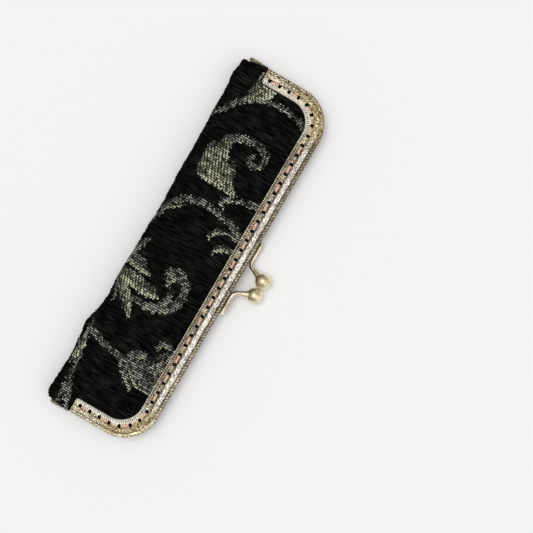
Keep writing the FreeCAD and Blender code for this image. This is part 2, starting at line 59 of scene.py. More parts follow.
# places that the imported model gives
hinge = Vector(frame["joints"][0]["pos_m"]) / mm
frameLow, frameHigh = (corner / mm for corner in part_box("front_frame"))
halfLength = frameHigh.x
railEdge = frameLow.y
midHeight = hinge.z
foldEdge = (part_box("spine_cover")[1] / mm).y
spineJoin = (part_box("front_cover")[1] / mm).y
print("frame loaded: half length %.1f, rail at %.1f, fold at %.1f mm" % (halfLength, railEdge, foldEdge))


# node and mesh helpers

def feed(tree, node, inputs):
    for name, value in inputs.items():
        if isinstance(value, bpy.types.NodeSocket):
            tree.links.new(value, node.inputs[name])
        else:
            node.inputs[name].default_value = value


def addNode(tree, kind, inputs, **settings):
    node = tree.nodes.new("ShaderNode" + kind)
    for name, value in settings.items():
        setattr(node, name, value)
    feed(tree, node, inputs)
    return node


def maths(tree, operation, first, second=0.0):
    node = addNode(tree, "Math", {0: first, 1: second}, operation=operation)
    return node.outputs[0]


def times(tree, first, second):
    return maths(tree, "MULTIPLY", first, second)


def plus(tree, first, second):
    return maths(tree, "ADD", first, second)


def mixColour(tree, share, first, second):
    node = addNode(tree, "Mix", {0: share, 6: first, 7: second}, data_type="RGBA")
    return node.outputs[2]


def remap(tree, value, low, high, toLow=0.0, toHigh=1.0):
    node = addNode(tree, "MapRange", {0: value, 1: low, 2: high, 3: toLow, 4: toHigh})
    return node.outputs[0]


def noiseAt(tree, vector, scale, detail=2.0, roughness=0.5):
    inputs = {"Vector": vector, "Scale": scale, "Detail": detail, "Roughness": roughness}
    return addNode(tree, "TexNoise", inputs).outputs[0]


def clothNoise(tree, blank, across, along, detail=2.0, roughness=0.5):
    # noise on the opened-out cloth, with its scale across and along the ribs
    spot = addNode(tree, "Mapping", {"Vector": blank, "Scale": (across, along, 1)}).outputs[0]
    return noiseAt(tree, spot, 1.0, detail, roughness)


def objectPlace(tree):
    return addNode(tree, "TexCoord", {}).outputs["Object"]


def attribute(tree, name):
    return addNode(tree, "Attribute", {}, attribute_name=name).outputs


def newMaterial(name):
    material = bpy.data.materials.new(name)
    material.use_nodes = True
    tree = material.node_tree
    return material, tree, tree.nodes["Principled BSDF"]


def bumped(tree, height, strength, distance):
    inputs = {"Height": height, "Strength": strength, "Distance": distance}
    return addNode(tree, "Bump", inputs).outputs[0]


def addObject(name, data):
    made = bpy.data.objects.new(name, data)
    bpy.context.scene.collection.objects.link(made)
    return made


def gridShape(columns, rows):
    bm = bmesh.new()
    bmesh.ops.create_grid(bm, x_segments=columns, y_segments=rows, size=0.5)
    return bm


def moveTo(verts, points):
    for vert, place in zip(verts, points.reshape(-1, 3)):
        vert.co = place


def addValues(bm, name, values):
    layer = bm.verts.layers.float.new(name)
    for vert, value in zip(bm.verts, values.ravel()):
        vert[layer] = value


def addVectors(bm, name, values):
    layer = bm.verts.layers.float_vector.new(name)
    for vert, value in zip(bm.verts, values.reshape(-1, 3)):
        vert[layer] = Vector(value)


def thickenStored(bm):
    # closes a sheet with a second face, moved by the vector that each point holds
    made = bmesh.ops.extrude_face_region(bm, geom=bm.faces[:])
    layer = bm.verts.layers.float_vector["inward"]
    for item in made["geom"]:
        if isinstance(item, bmesh.types.BMVert):
            item.co += item[layer]
    bm.verts.layers.float_vector.remove(layer)
    bmesh.ops.recalc_face_normals(bm, faces=bm.faces[:])


def finishPiece(bm, name, material, sharpAngle=50):
    bmesh.ops.scale(bm, vec=(mm, mm, mm), verts=bm.verts[:])
    mesh = bpy.data.meshes.new(name)
    bm.to_mesh(mesh)
    bm.free()
    mesh.polygons.foreach_set("use_smooth", [True] * len(mesh.polygons))
    mesh.set_sharp_from_angle(angle=math.radians(sharpAngle))
    mesh.materials.append(material)
    piece = addObject(name, mesh)
    print("%s: %d faces" % (name, len(mesh.polygons)))
    return piece


def finishRigid(bm, node, ending, body, material, sharpAngle):
    # lifts a piece from the parting plane to its place, on the body that carries it
    bmesh.ops.translate(bm, vec=(0, 0, midHeight), verts=bm.verts[:])
    piece = finishPiece(bm, node + ending, material, sharpAngle)
    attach(piece, body)
    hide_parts(node)


def gridNormals(points):
    along = np.gradient(points, axis=0)
    across = np.gradient(points, axis=1)
    normals = np.cross(across, along)
    return normals / np.linalg.norm(normals, axis=2, keepdims=True)


def noiseOver(first, second, seed):
    flat = [noise.noise((a, b, seed)) for a, b in zip(first.ravel(), second.ravel())]
    return np.array(flat).reshape(first.shape)


def grainOver(first, second, grain, seed):
    # noise whose lumps are about as long and as wide as the grain
    return noiseOver(first / grain[0], second / grain[1], seed)


def easeBetween(low, high, values):
    share = np.clip((values - low) / (high - low), 0, 1)
    return share * share * (3 - 2 * share)


def curveBetween(t, start, finish, startSlope, finishSlope):
    return (
        (2 * t**3 - 3 * t**2 + 1) * start + (t**3 - 2 * t**2 + t) * startSlope
        + (3 * t**2 - 2 * t**3) * finish + (t**3 - t**2) * finishSlope)


# scrollwork of the jacquard: each stroke is a row of (x, y, half width) on the opened-out cloth

scrollwork = {
    "stems": (
        ((-93, 26.6, 1.3), (-84, 27, 1.4), (-76, 27.5, 1.2), (-68, 28.5, 1.2), (-60, 30, 0.9),
         (-52, 31.6, 0.9), (-46, 34.5, 0.5)),
        ((-52.8, 31.4, 2.3), (-55.2, 26, 1.7), (-57, 20, 1.1), (-58.2, 14, 1.2), (-58.5, 9, 2)),
        ((-31.8, 20.8, 1.1), (-31.9, 14, 1.6), (-30.5, 8, 2.2), (-27.4, 3.2, 2.5), (-22, 0.4, 1.9),
         (-16, 0.9, 1.9), (-12.6, 4.5, 2.4), (-12.3, 8.8, 2.8), (-13.4, 12.2, 1.2)),
        ((3.5, 31.2, 0.5), (9, 29.8, 1), (13.5, 28.4, 1.3), (17.3, 26, 1.5), (20.2, 22.6, 1.6),
         (22.2, 18, 1.6), (22.6, 12.5, 1.5), (22.2, 7, 1.4), (21.4, 2, 1.3), (20, -3, 1.5), (18, -7, 2),
         (16.3, -12, 2.6)),
        ((31.3, 1.6, 1.1), (32.5, -3, 1.1), (33.5, -6, 1.5), (34.2, -12, 2.2)),
        ((60, 33.5, 0.7), (65, 29, 1.1), (70, 25.6, 1.2), (74.3, 21.6, 1.5), (77.4, 16.6, 1.6),
         (79, 11, 1)),
        ((79, 12, 1), (79.4, 6, 1.2), (79.3, 0, 1.2), (78.2, -5, 1.1), (75.3, -10, 0.9)),
        ((50, 18.9, 3), (54.3, 18.5, 2.4), (57.3, 15.2, 1.9), (58.5, 10, 1.6), (58.7, 5, 1.5),
         (57.2, 1.2, 1.4), (54, -0.8, 1.4), (50.8, -0.2, 1.3), (49.2, 2.7, 1.4), (50.6, 5.4, 1.4),
         (52.8, 5.2, 1.2), (53.6, 3.8, 0.5)),
    ),
    "leaves": (
        ((-78, 26.6, 0.6), (-84, 25, 1.3), (-89, 22.8, 1.3), (-92, 21.2, 0.8)),
        ((-58.5, 10, 1.5), (-62.5, 6.6, 2.2), (-66, 3.2, 2), (-68.6, 0.4, 1), (-70.4, -0.8, 0.2)),
        ((-58.5, 9, 2.2), (-59.2, 4, 4.4), (-60.2, -1, 5.4), (-61, -6, 5.6), (-61.2, -11, 5.4)),
        ((-63, 2, 1.5), (-66, -3, 1.4), (-66.2, -11, 1.1)),
        ((-58, 8, 2), (-55, 5.8, 2.5), (-52.8, 3.4, 1.8), (-51, 1.8, 0.6)),
        ((-58, 1, 3), (-54, -2.6, 3.1), (-50.6, -5.8, 2.5), (-46.6, -7.8, 1.4), (-43.9, -7.2, 1.4),
         (-43.1, -4.6, 1.5), (-44.6, -2.3, 1.4), (-46.6, -2, 0.7)),
        ((-55, -4, 2), (-54.2, -8, 1.8), (-53.6, -11, 1.6)),
        ((-24, 32, 1.8), (-31, 29.4, 1.1), (-37.6, 28, 0.3)),
        ((-15, 32.5, 3.3), (-16, 27, 3), (-17.5, 22.4, 1.8), (-18.2, 18.8, 0.4)),
        ((-13, 32, 1.6), (-7.4, 29.4, 1.4), (-3.6, 27.2, 0.3)),
        ((-29.5, 8.4, 1.2), (-26, 6, 1.8), (-22.6, 5.4, 1.5), (-19.3, 6.4, 0.3)),
        ((-12.5, 8, 2.4), (-15.6, 9.8, 1.9), (-18.9, 8.7, 0.4)),
        ((13.4, 27.2, 0.9), (15.6, 24.6, 0.9), (18.2, 21.4, 0.2)),
        ((9.5, 3.9, 0.4), (12.6, 3.6, 1.2), (15.2, 0.8, 1.3), (16.3, -3.5, 0.9), (15.6, -12, 1.1)),
        ((3.9, -0.9, 0.3), (6.8, -1.7, 1.3), (8.8, -4.6, 1.6), (8.8, -12, 1.2)),
        ((25.4, 4.9, 0.6), (27.4, 6.6, 1.3), (29.8, 5.6, 1.4), (31, 2.6, 1.3), (31.6, 0, 1.1)),
        ((33.4, 5, 1.1), (38, 9.4, 2), (43, 11, 2.1), (46.2, 11.4, 1.3)),
    ),
    "fans": (
        ((-72, 31, 0.6), (-66, 30, 1.7), (-60, 30, 1.3), (-55, 31, 0.6)),
        ((-23, 32.5, 2.6), (-28, 27.6, 2.9), (-33, 23.4, 2.4), (-38, 19.4, 1.3), (-42, 17, 0.2)),
        ((-23.5, 30, 2.8), (-24.5, 22, 3.3), (-25.2, 16, 3), (-25.7, 10, 0.5)),
        ((32.2, 2.6, 0.9), (33.6, 9, 1.4), (34.6, 18, 2.2), (35.4, 23, 2), (42, 24.3, 1.7),
         (48.2, 24.6, 1.6)),
        ((33.4, 5, 1.2), (37.6, 14.5, 3.4), (42, 20.6, 4.4), (46.6, 23.4, 2.6), (48.4, 24.2, 1.8)),
        ((34, 6, 1.4), (41, 13.6, 3), (47, 18.6, 3.4), (52, 19.4, 2.8)),
        ((75, 20.6, 1.4), (79.4, 19.2, 2.6), (84, 18.2, 3.2), (89, 19.4, 1.4)),
        ((77.6, 18, 1.8), (81, 14.8, 2.9), (84.6, 12.6, 1.9), (86, 11.2, 1)),
    ),
}


def strokeSamples(stroke, steps=14):
    points = np.array(stroke, float)
    before = np.vstack((2 * points[0] - points[1], points[:-1]))
    after = np.vstack((points[1:], 2 * points[-1] - points[-2]))
    slopes = (after - before) / 2
    t = np.linspace(0, 1, steps)[:, None]
    pairs = zip(points[:-1], points[1:], slopes[:-1], slopes[1:])
    return np.vstack([curveBetween(t, *pair) for pair in pairs])


def insideStrokes(x, y, strokes, margin=2.0):
    depth = np.full(x.shape, -margin)
    for stroke in strokes:
        samples = strokeSamples(stroke)
        reach = samples[:, 2].max() + margin
        near = (
            (x > samples[:, 0].min() - reach) & (x < samples[:, 0].max() + reach)
            & (y > samples[:, 1].min() - reach) & (y < samples[:, 1].max() + reach))
        if near.any():
            distance = np.hypot(x[near][:, None] - samples[:, 0], y[near][:, None] - samples[:, 1])
            depth[near] = np.maximum(depth[near], (samples[:, 2] - distance).max(axis=1))
    return depth


def scrollOn(x, plan):
    # gives the depth inside a figure, how far its edge faces left or down for a painted highlight, and the
    # depth inside a fan;
    # the back of the case shows the same figures turned half round
    onFront = plan <= foldEdge
    sideX = np.where(onFront, x, -x)
    sideY = np.where(onFront, plan, 2 * foldEdge - plan)
    kinds = ("fans", "leaves", "stems")
    depths = np.array([insideStrokes(sideX, sideY, scrollwork[kind]) for kind in kinds])
    depth = depths.max(axis=0)
    least = chenille["leastStep"]
    stepY = np.gradient(sideY, axis=0)
    slopeY = np.gradient(depth, axis=0) / np.where(np.abs(stepY) < least, least, stepY)
    slopeX = np.gradient(depth, axis=1) / np.gradient(sideX, axis=1)
    lean = np.array(chenille["paintedHighlightLean"])[depths.argmax(axis=0)]
    slope = lean[:, :, 0] * slopeX + lean[:, :, 1] * slopeY
    return depth, np.clip(slope, -1, 1), depths[0]


# cloth of the case: cover, padding and lining follow the same crowned form, one inside the other

chenille = {
    "ribPitch": 1.05,
    "ribHeight": 0.15,
    "foldRibHeight": 0.25,
    "foldRibs": (5.0, 1.0),    # distances from the fold between which the ribs grow
    "ribWander": 0.3,
    "wanderGrain": (30, 12),
    "lumps": (0.8, 0.6, 0.35),    # a rib's mean height, and how much short and broad lumps change it
    "shortGrain": (1, 2.5),
    "broadGrain": (4, 9),
    "figureSink": 0.12,    # the woven figures lie lower than the pile
    "figureEdge": 0.4,
    "figureFlattens": 0.5,    # share of the ribs that is lost in a figure
    "frameFlattens": 0.8,    # and under the frame
    # a figure's greatest depth in the open, and under the frame, where the figures are left out so that the
    # cloth in the holes shows dark as painted shade
    "figureDepth": (3.0, -2.0),
    "leastStep": 0.01,
    "dash": 0.8,    # length of one dash of the figures' pale yarn along its rib
    "twill": 1.65,    # between the slanting rows of the fans
    # how much painted highlight the edges that face left and down get, on fans, leaves and stems
    "paintedHighlightLean": ((0.6, 0.9), (1.1, 0.35), (0.35, 0.12)),
}
clothForm = {
    "tuck": 4.42,    # height of the cover's edge under the frame
    "margin": 1.7,    # from the frame's outside to the cloth's tucked edge
    "frontCrown": 5.0,
    "rearCrown": 2.05,
    "crownSpan": 82.0,
    "crownPowers": (3, 0.8),
    "crownStart": 9.6,    # from the frame's outside to where the panel begins to rise
    "risePower": 2.2,
    "ridgeLine": 8.0,    # where the panel is highest
    "floorGap": 0.03,
    "leastHeight": 0.04,
    "endRoll": 2.5,    # how far the closed ends round off
    "seamDepth": 0.3,    # how far the seam at each end is drawn in
    "seamHeights": (1.0, 3.4),
    "seamShares": (0.9, 1.0),
    "wrinkle": 0.28,
    "heldWrinkle": 0.1,    # share of the wrinkles that is left beside the frame
    "creaseGrain": (16, 11),
    "fineCreaseGrain": (5, 22),
    "fineCreases": 0.5,
    # distances from the frame's outside over which the cloth gets free of it, and comes out from under it
    "railFrees": (9.0, 13.0),
    "legFrees": (7.5, 16.5),
    "railHides": (8.4, 9.6),
    "legHides": (7.3, 8.7),
    "tipHides": 0.5,
    "innerWave": 0.12,
    "innerGrain": (14, 10),
    "foldUneven": 0.4,
    "foldGrains": (5, 2),
    "fineFold": 0.7,
    # the fold wanders a little: (x, y) along it
    "foldLine": (
        (-92, 31.2), (-90, 32.5), (-87, 33), (-80, 32.9), (-72, 32.4), (-60, 33.2), (-51, 33.9),
        (-44, 32.3), (-20, 31.9), (0, 31.7), (14, 31.2), (24, 31.6), (45, 31.9), (70, 32.6), (89, 32.6),
        (92, 31.9)),
    # the ends draw in beside the hinge: (y, |x|)
    "endLine": (
        (17, 90.8), (19, 90.9), (20.4, 91.5), (22, 91.5), (25, 91.1), (29, 91.1), (30.5, 91.4), (34, 91.2)),
    # but past the leg tips the cover's front bulges out over the tabs
    "leftBulge": (
        (17, 90.8), (19, 90.9), (19.8, 92.4), (22, 92.6), (24, 92.2), (26, 92.1), (29, 92.1), (30.4, 92.4),
        (34, 92)),
    "rightBulge": (
        (17, 90.8), (19, 90.9), (19.8, 92.5), (21, 92.6), (23.2, 92.1), (26, 91.6), (29, 91.3),
        (30.4, 91.5), (34, 91.2)),
    "bulgeHeights": (0.2, 2.0),
    "bulgeLift": 1.3,
    "liftEnds": (89.0, 91.2),
    "tabStart": (-0.1, 0.6),    # from the leg tip
    "tabEnd": (28.6, 30.4),
    "flareEnds": (88.2, 90.4),
}
# for each layer: its place under the cover's face, how its ends lie, its grid, the reach of its bend,
# and its flat sizes in metres
innerCloth = {
    "bulge": 0.0, "flare": 0.0, "closing": (2.4, 1.4), "columns": 150, "panelRows": 30, "spineRows": 24}
clothLayers = {
    "cover": {
        "slot": "chenille_cloth", "drop": 0.0, "thick": 0.9, "bulge": 1.0, "short": 0.0, "flare": 0.0,
        "closing": (6.2, 3.6), "columns": 780, "panelRows": 60, "spineRows": 44, "bend": 3.6,
        "panelFlat": (0.182, 0.039), "spineFlat": (0.183, 0.029)},
    "padding": {
        **innerCloth, "slot": "padding_fleece", "drop": 1.0, "thick": 0.8, "short": 3.4, "bend": 1.9,
        "panelFlat": (0.175, 0.039), "spineFlat": (0.176, 0.025)},
    "lining": {
        **innerCloth, "slot": "lining_cloth", "drop": 1.9, "thick": 0.4, "short": 0.2, "bend": 1.3,
        "flare": 0.5, "panelFlat": (0.182, 0.039), "spineFlat": (0.179, 0.022)},
}


def smoothLine(pairs, values):
    stations, heights = np.array(pairs, float).T
    slopes = np.gradient(heights, stations)
    index = np.clip(np.searchsorted(stations, values) - 1, 0, len(stations) - 2)
    span = stations[index + 1] - stations[index]
    t = np.clip((values - stations[index]) / span, 0, 1)
    return curveBetween(
        t, heights[index], heights[index + 1], slopes[index] * span, slopes[index + 1] * span)


def foldAt(x):
    level = np.zeros_like(x)
    broad, fine = clothForm["foldGrains"]
    uneven = noiseOver(x / broad, level, seed=3.1)
    uneven = uneven + clothForm["fineFold"] * noiseOver(x / fine, level, seed=6.3)
    return smoothLine(clothForm["foldLine"], x) + clothForm["foldUneven"] * uneven


def crownAcross(x):
    power, ease = clothForm["crownPowers"]
    return np.clip(1 - np.abs(x / clothForm["crownSpan"]) ** power, 0, 1) ** ease


def panelHeight(x, y, crown):
    top = clothForm["tuck"] + crown * crownAcross(x)
    ridge = clothForm["ridgeLine"]
    start = railEdge + clothForm["crownStart"]
    fold = foldAt(x)
    rise = 1 - np.clip((ridge - y) / (ridge - start), 0, 1) ** clothForm["risePower"]
    toRail = clothForm["tuck"] + (top - clothForm["tuck"]) * rise
    toFold = top * np.sqrt(np.clip(1 - (np.clip(y - ridge, 0, None) / (fold - ridge)) ** 2, 0, 1))
    return np.where(y < ridge, toRail, toFold)


def endReach(u, y, height, form):
    # gives how far out the end comes, and how far the bulge over a tab lifts it there
    inner = smoothLine(clothForm["endLine"], y) - form["short"]
    left, right = smoothLine(clothForm["leftBulge"], y), smoothLine(clothForm["rightBulge"], y)
    share = form["bulge"] * easeBetween(*clothForm["bulgeHeights"], height)
    reach = inner + (np.where(u < 0, left, right) - inner) * share
    overTab = easeBetween(*clothForm["tabStart"], y - legTip) * (1 - easeBetween(*clothForm["tabEnd"], y))
    atEnd = easeBetween(*clothForm["liftEnds"], np.abs(u) * reach)
    return reach, clothForm["bulgeLift"] * share * overTab * atEnd


def pressedFlat(height):
    lowest = -midHeight + clothForm["floorGap"]
    return np.maximum(height, lowest)


def runAlong(points):
    steps = np.linalg.norm(np.diff(points, axis=0), axis=2)
    return np.vstack((np.zeros((1, points.shape[1])), np.cumsum(steps, axis=0)))


def panelBase(side, columns, rows, form):
    # gives the panel's points, their plan coordinate seen over the fold, and their run along the cloth
    end = halfLength - clothForm["margin"]
    corner = frameForm["outerCorner"] - clothForm["margin"]
    u, v = np.meshgrid(np.linspace(-1, 1, columns + 1), np.linspace(0, 1, rows + 1))
    past = np.clip(np.abs(u * end) - (end - corner), 0, corner)
    tuckLine = railEdge + clothForm["margin"] + corner - np.sqrt(corner**2 - past**2)
    y = tuckLine + (spineJoin - tuckLine) * v
    reach, lift = endReach(u, y, side * clothForm["tuck"], form)
    x = u * reach
    crown = clothForm["frontCrown"] if side > 0 else clothForm["rearCrown"]
    height = side * panelHeight(x, y, crown) + lift
    points = np.stack((x, y, pressedFlat(height)), axis=2)
    run = runAlong(points)
    fromJoin = run[-1] - run
    if side > 0:
        return points, y, spineJoin - fromJoin
    spinePoints = spineBase(columns, rows, form)[0]
    return points, 2 * foldEdge - y, spineJoin + runAlong(spinePoints)[-1] + fromJoin


def spineBase(columns, rows, form):
    ridge = clothForm["ridgeLine"]
    u, v = np.meshgrid(np.linspace(-1, 1, columns + 1), np.linspace(0, 1, rows + 1))
    x = u * (halfLength - clothForm["margin"] - form["short"])
    fold = foldAt(x)
    startAngle = np.arcsin((spineJoin - ridge) / (fold - ridge))
    angle = startAngle + (math.pi - 2 * startAngle) * v
    y = ridge + (fold - ridge) * np.sin(angle)
    crowns = np.where(angle < math.pi / 2, clothForm["frontCrown"], clothForm["rearCrown"])
    height = (clothForm["tuck"] + crowns * crownAcross(x)) * np.cos(angle)
    # the ends close towards the fold, from the hinge on, and their seam is drawn in
    reach, lift = endReach(u, y, height, form)
    x = u * reach
    fromEnd = np.clip((reach + form["short"] - np.abs(x)) / clothForm["endRoll"], 0, 1)
    rolled = np.sqrt(1 - (1 - fromEnd) ** 2)
    closing = easeBetween(spineJoin + form["closing"][0], hinge.y + form["closing"][1], y)
    height = height * (1 - closing * (1 - rolled)) + lift
    least = clothForm["leastHeight"]
    height = np.where(np.abs(height) < least, np.sign(0.5 - v) * least, height)
    drawn = 1 - easeBetween(*clothForm["seamHeights"], np.abs(height))
    drawn = drawn * easeBetween(*clothForm["seamShares"], np.abs(u))
    x = x - np.sign(u) * clothForm["seamDepth"] * drawn
    points = np.stack((x, y, pressedFlat(height)), axis=2)
    plan = np.where(v <= 0.5, y, 2 * foldEdge - y)
    return points, plan, spineJoin + runAlong(points)


def underFrame(x, y):
    # 1 where the frame hides the cloth, 0 where the cloth shows
    pastRail = easeBetween(*clothForm["railHides"], y - railEdge)
    pastLegs = easeBetween(*clothForm["legHides"], halfLength - np.abs(x))
    return np.where(y < legTip + clothForm["tipHides"], 1 - pastRail * pastLegs, 0)


def coverLift(x, y, run, ribPlace, depth):
    # ribs of the pile, sunken figures and soft wrinkles, all as heights along the cloth's normal
    pile, cloth = chenille, clothForm
    inFigure = easeBetween(-pile["figureEdge"], pile["figureEdge"], depth)
    mean, short, broad = pile["lumps"]
    shortLumps = grainOver(ribPlace, run, pile["shortGrain"], seed=5.2)
    broadLumps = grainOver(x, run, pile["broadGrain"], seed=9.3)
    far, near = pile["foldRibs"]
    nearFold = easeBetween(foldEdge - far, foldEdge - near, y)
    ribs = pile["ribHeight"] + (pile["foldRibHeight"] - pile["ribHeight"]) * nearFold
    ribs = ribs * np.cos(2 * math.pi * ribPlace) * (mean + short * shortLumps + broad * broadLumps)
    ribs = ribs * (1 - pile["figureFlattens"] * inFigure) * (1 - pile["frameFlattens"] * underFrame(x, y))
    free = easeBetween(*cloth["railFrees"], y - railEdge)
    free = free * easeBetween(*cloth["legFrees"], halfLength - np.abs(x))
    creases = grainOver(x, run, cloth["creaseGrain"], seed=8.4)
    creases = creases + cloth["fineCreases"] * grainOver(x, run, cloth["fineCreaseGrain"], seed=2.9)
    wrinkles = cloth["wrinkle"] * creases * (cloth["heldWrinkle"] + (1 - cloth["heldWrinkle"]) * free)
    return ribs - pile["figureSink"] * inFigure + wrinkles


def clothPiece(name, layer, part, material):
    form = clothLayers[layer]
    columns = form["columns"]
    if part == "spine":
        rows = form["spineRows"]
        points, plan, run = spineBase(columns, rows, form)
    else:
        rows = form["panelRows"]
        points, plan, run = panelBase(1 if part == "front" else -1, columns, rows, form)
    normals = gridNormals(points)
    if part == "rear":
        normals = -normals
    x, y = points[:, :, 0], points[:, :, 1]
    wander = grainOver(x, run, chenille["wanderGrain"], seed=1.7)
    ribPlace = x / chenille["ribPitch"] + chenille["ribWander"] * wander
    bm = gridShape(columns, rows)
    if layer == "cover":
        depth, slope, fan = scrollOn(x, plan)
        if part != "spine":
            # under the frame the figures are left out: painted shade for the cloth seen through the holes
            shown, hidden = chenille["figureDepth"]
            depth = np.minimum(depth, shown + (hidden - shown) * underFrame(x, y))
        lift = coverLift(x, y, run, ribPlace, depth)
        addVectors(bm, "figure", np.stack((depth, slope, fan), axis=2))
    else:
        atEnd = easeBetween(*clothForm["flareEnds"], np.abs(x))
        wave = clothForm["innerWave"] * grainOver(x, run, clothForm["innerGrain"], seed=4.4)
        lift = wave - form["drop"] + form["flare"] * atEnd
    raised = points + normals * lift[:, :, None]
    raised[:, :, 2] = pressedFlat(raised[:, :, 2]) + midHeight
    addVectors(bm, "blank", np.stack((ribPlace, run, np.zeros_like(x)), axis=2))
    moveTo(bm.verts, raised)
    addVectors(bm, "inward", -normals * form["thick"])
    thickenStored(bm)
    return finishPiece(bm, name, material)


# stamped frame: one embossed strip that runs round the U from lip to inner edge

frameForm = {
    "legReach": 37.4,
    "outerCorner": 17.7,
    "innerCorner": 11.0,
    "railFace": 9.0,
    "legFace": 7.6,
    "sheet": 0.6,
    "tipRound": 1.6,
    "steps": 1000,
    "spacing": 0.24,    # between the points across the face
    "ridgeLine": 3.2,
    "ridgeOuterHalf": 1.4,
    "ridgeInnerHalf": 1.95,
    "faceLevels": (4.0, 4.8),    # between which the wall turns into the face
    "wallPolish": 0.3,
    "wallWear": 0.12,
    "wallGrain": (3, 1),
    "tabPolish": 0.5,
    "tabOverlap": 0.4,    # how far the tabs run on inside the leg tips
    "tabWeld": 0.0005,
}
# section of the strip on the rail as (distance from the outside, height above the parting plane)
frameSection = (
    (2.0, 0.15), (0.45, 0.15), (0.12, 0.24), (0.0, 0.5), (0.0, 2.0), (0.0, 4.0), (0.07, 4.5), (0.26, 4.86),
    (0.55, 5.1), (0.9, 5.22), (1.3, 5.22), (1.75, 5.12), (2.0, 5.16), (4.6, 5.16), (5.2, 5.1), (5.5, 5.16),
    (6.9, 5.18), (7.8, 5.18), (8.1, 5.06), (8.35, 5.16), (8.6, 5.3), (8.8, 5.28), (8.95, 5.1), (9.0, 4.8),
)
wallPoints = 5    # leading points of the section that lie on the lip and the wall
sewingHoles = {
    "count": 44,
    "radius": 0.94,
    "railInset": 6.0,
    "legInset": 4.9,
    "corner": 12.6,
    "first": 3.3,
    "level": 4.3,    # holes are cut only above this height
    "rim": (1.05, 0.24),    # radius and half width of the raised rim
    "petal": (0.75, 0.42),
    "petals": 4,
}
# the ornament's bands as (distance from the frame's outside, half width), and what fills them
ornament = {
    "edge": (0.75, 0.8),
    "outerBand": (0.9, 1.3),
    "field": (3.0, 3.4),
    "scrollField": (3.2, 3.3),
    "sewingBand": (6.0, 1.0),
    "beads": (7.35, 0.44),
    "rope": (8.66, 0.34),
    "combEdges": ((6.65, 0.4), (8.45, 0.4)),
    "combStart": (6.1, 6.4),
    "combEnd": (8.9, 9.0),
    "hollows": (    # dark lines between the bands, with their depth
        (0.6, 0.6, 0.1), (1.7, 0.34, 0.2), (5.4, 0.3, 0.06), (6.8, 0.2, 0.08), (8.05, 0.2, 0.12)),
    "turnSpread": 6.0,    # over which the rail's ornament gives way to that of the legs
    "cornerSpread": 7.0,
    "beadPitch": 1.06,
    "beadTicks": (1.5, 0.5),
    "nickPitch": (1.5, 1.9),    # of the slanting nicks on the edge, along and across
    "nickTicks": (1.4, 0.4),
    "scallop": (0.14, 2.565),    # swing and pitch of the ridge's inner side
    "vinePeriod": 10.26,
    "vineSwing": 0.6,
    "vineHalf": 0.2,
    "curl": (0.35, 0.6, 0.17),
    "veins": 13,
    "veinScale": (0.5, 0.62),
    "veinEdge": (0.35, 0.9),
    "veinShare": 0.85,
    "scrolls": 15,
    "scrollScale": (0.42, 0.5),
    "scrollFine": (0.3, 1.1),
    "scrollEdge": (0.1, 0.8),
    "stippleScale": 2.3,
    "stippleEnd": 7.0,
    "wearGrain": (7, 3),
}
# what each feature adds to the height in millimetres, to how bright the metal is rubbed, with painted light
# along the outer edge, and to its gold
ornamentShares = {
    "railHeight": {"ridge": 0.72, "lines": -0.2, "beadTicks": 0.2, "ropeTicks": 0.1},
    "legHeight": {"ridge": 0.4, "scrolls": 0.2, "combTicks": 0.2},
    "faceHeight": {"edge": 0.14, "marks": 0.1, "stipple": 0.05},
    "railPolish": {
        "ridge": 0.67, "lines": -0.45, "beads": -0.12, "beadTicks": 0.62, "rope": -0.02, "ropeTicks": 0.8,
        "band": 0.06, "edge": 0.2},
    "legPolish": {
        "plain": 0.12, "ridge": 0.05, "scrolls": 0.55, "comb": 0.1, "combTicks": 0.55, "combEdges": 0.35},
    "facePolish": {
        "plain": 0.25, "edge": 0.3, "marks": 0.3, "hollows": -1.0, "cornerScrolls": -0.12,
        # the x term on the outer band is painted light, brighter towards the left end and darker towards the
        # right
        "cornerRidge": -0.14, "paintedEdgeLight": -0.0016, "grain": 0.5, "wear": 0.12},
    "faceGold": {
        "plain": 0.38, "railRidge": -0.36, "legField": 0.25, "corner": 0.42, "edge": 0.2, "wear": 0.35},
}
legTip = railEdge + frameForm["legReach"]


def holePlaces():
    legX = halfLength - sewingHoles["legInset"]
    railY = railEdge + sewingHoles["railInset"]
    turn = sewingHoles["corner"]
    straight = legTip - sewingHoles["first"] - railY - turn
    quarter = turn * math.pi / 2
    step = (2 * straight + 2 * quarter + 2 * (legX - turn)) / (sewingHoles["count"] - 1)
    places = []
    for index in range(sewingHoles["count"] // 2):
        travel = index * step
        if travel < straight:
            places.append((-legX, railY + turn + straight - travel))
        elif travel < straight + quarter:
            angle = (travel - straight) / turn
            places.append((turn - legX - turn * math.cos(angle), railY + turn - turn * math.sin(angle)))
        else:
            places.append((turn - legX + travel - straight - quarter, railY))
    return places + [(-across, along) for across, along in reversed(places)]


def sectionPoints():
    corners = np.array(frameSection)
    lengths = np.hypot(*np.diff(corners, axis=0).T)
    stations = np.concatenate(([0], np.cumsum(lengths)))
    face = stations[wallPoints]
    count = int((stations[-1] - face) / frameForm["spacing"])
    wanted = np.concatenate((stations[:wallPoints], np.linspace(face, stations[-1], count)))
    return np.stack([np.interp(wanted, stations, corners[:, axis]) for axis in (0, 1)], axis=1)


# lengths of the strip's middle line on half the rail, one corner and one leg
railRun = halfLength - (frameForm["outerCorner"] + frameForm["legFace"] + frameForm["innerCorner"]) / 2
cornerRun = math.pi / 4 * (frameForm["outerCorner"] + frameForm["innerCorner"])
legStraight = (frameForm["outerCorner"] + frameForm["railFace"] + frameForm["innerCorner"]) / 2
legRun = frameForm["legReach"] - legStraight


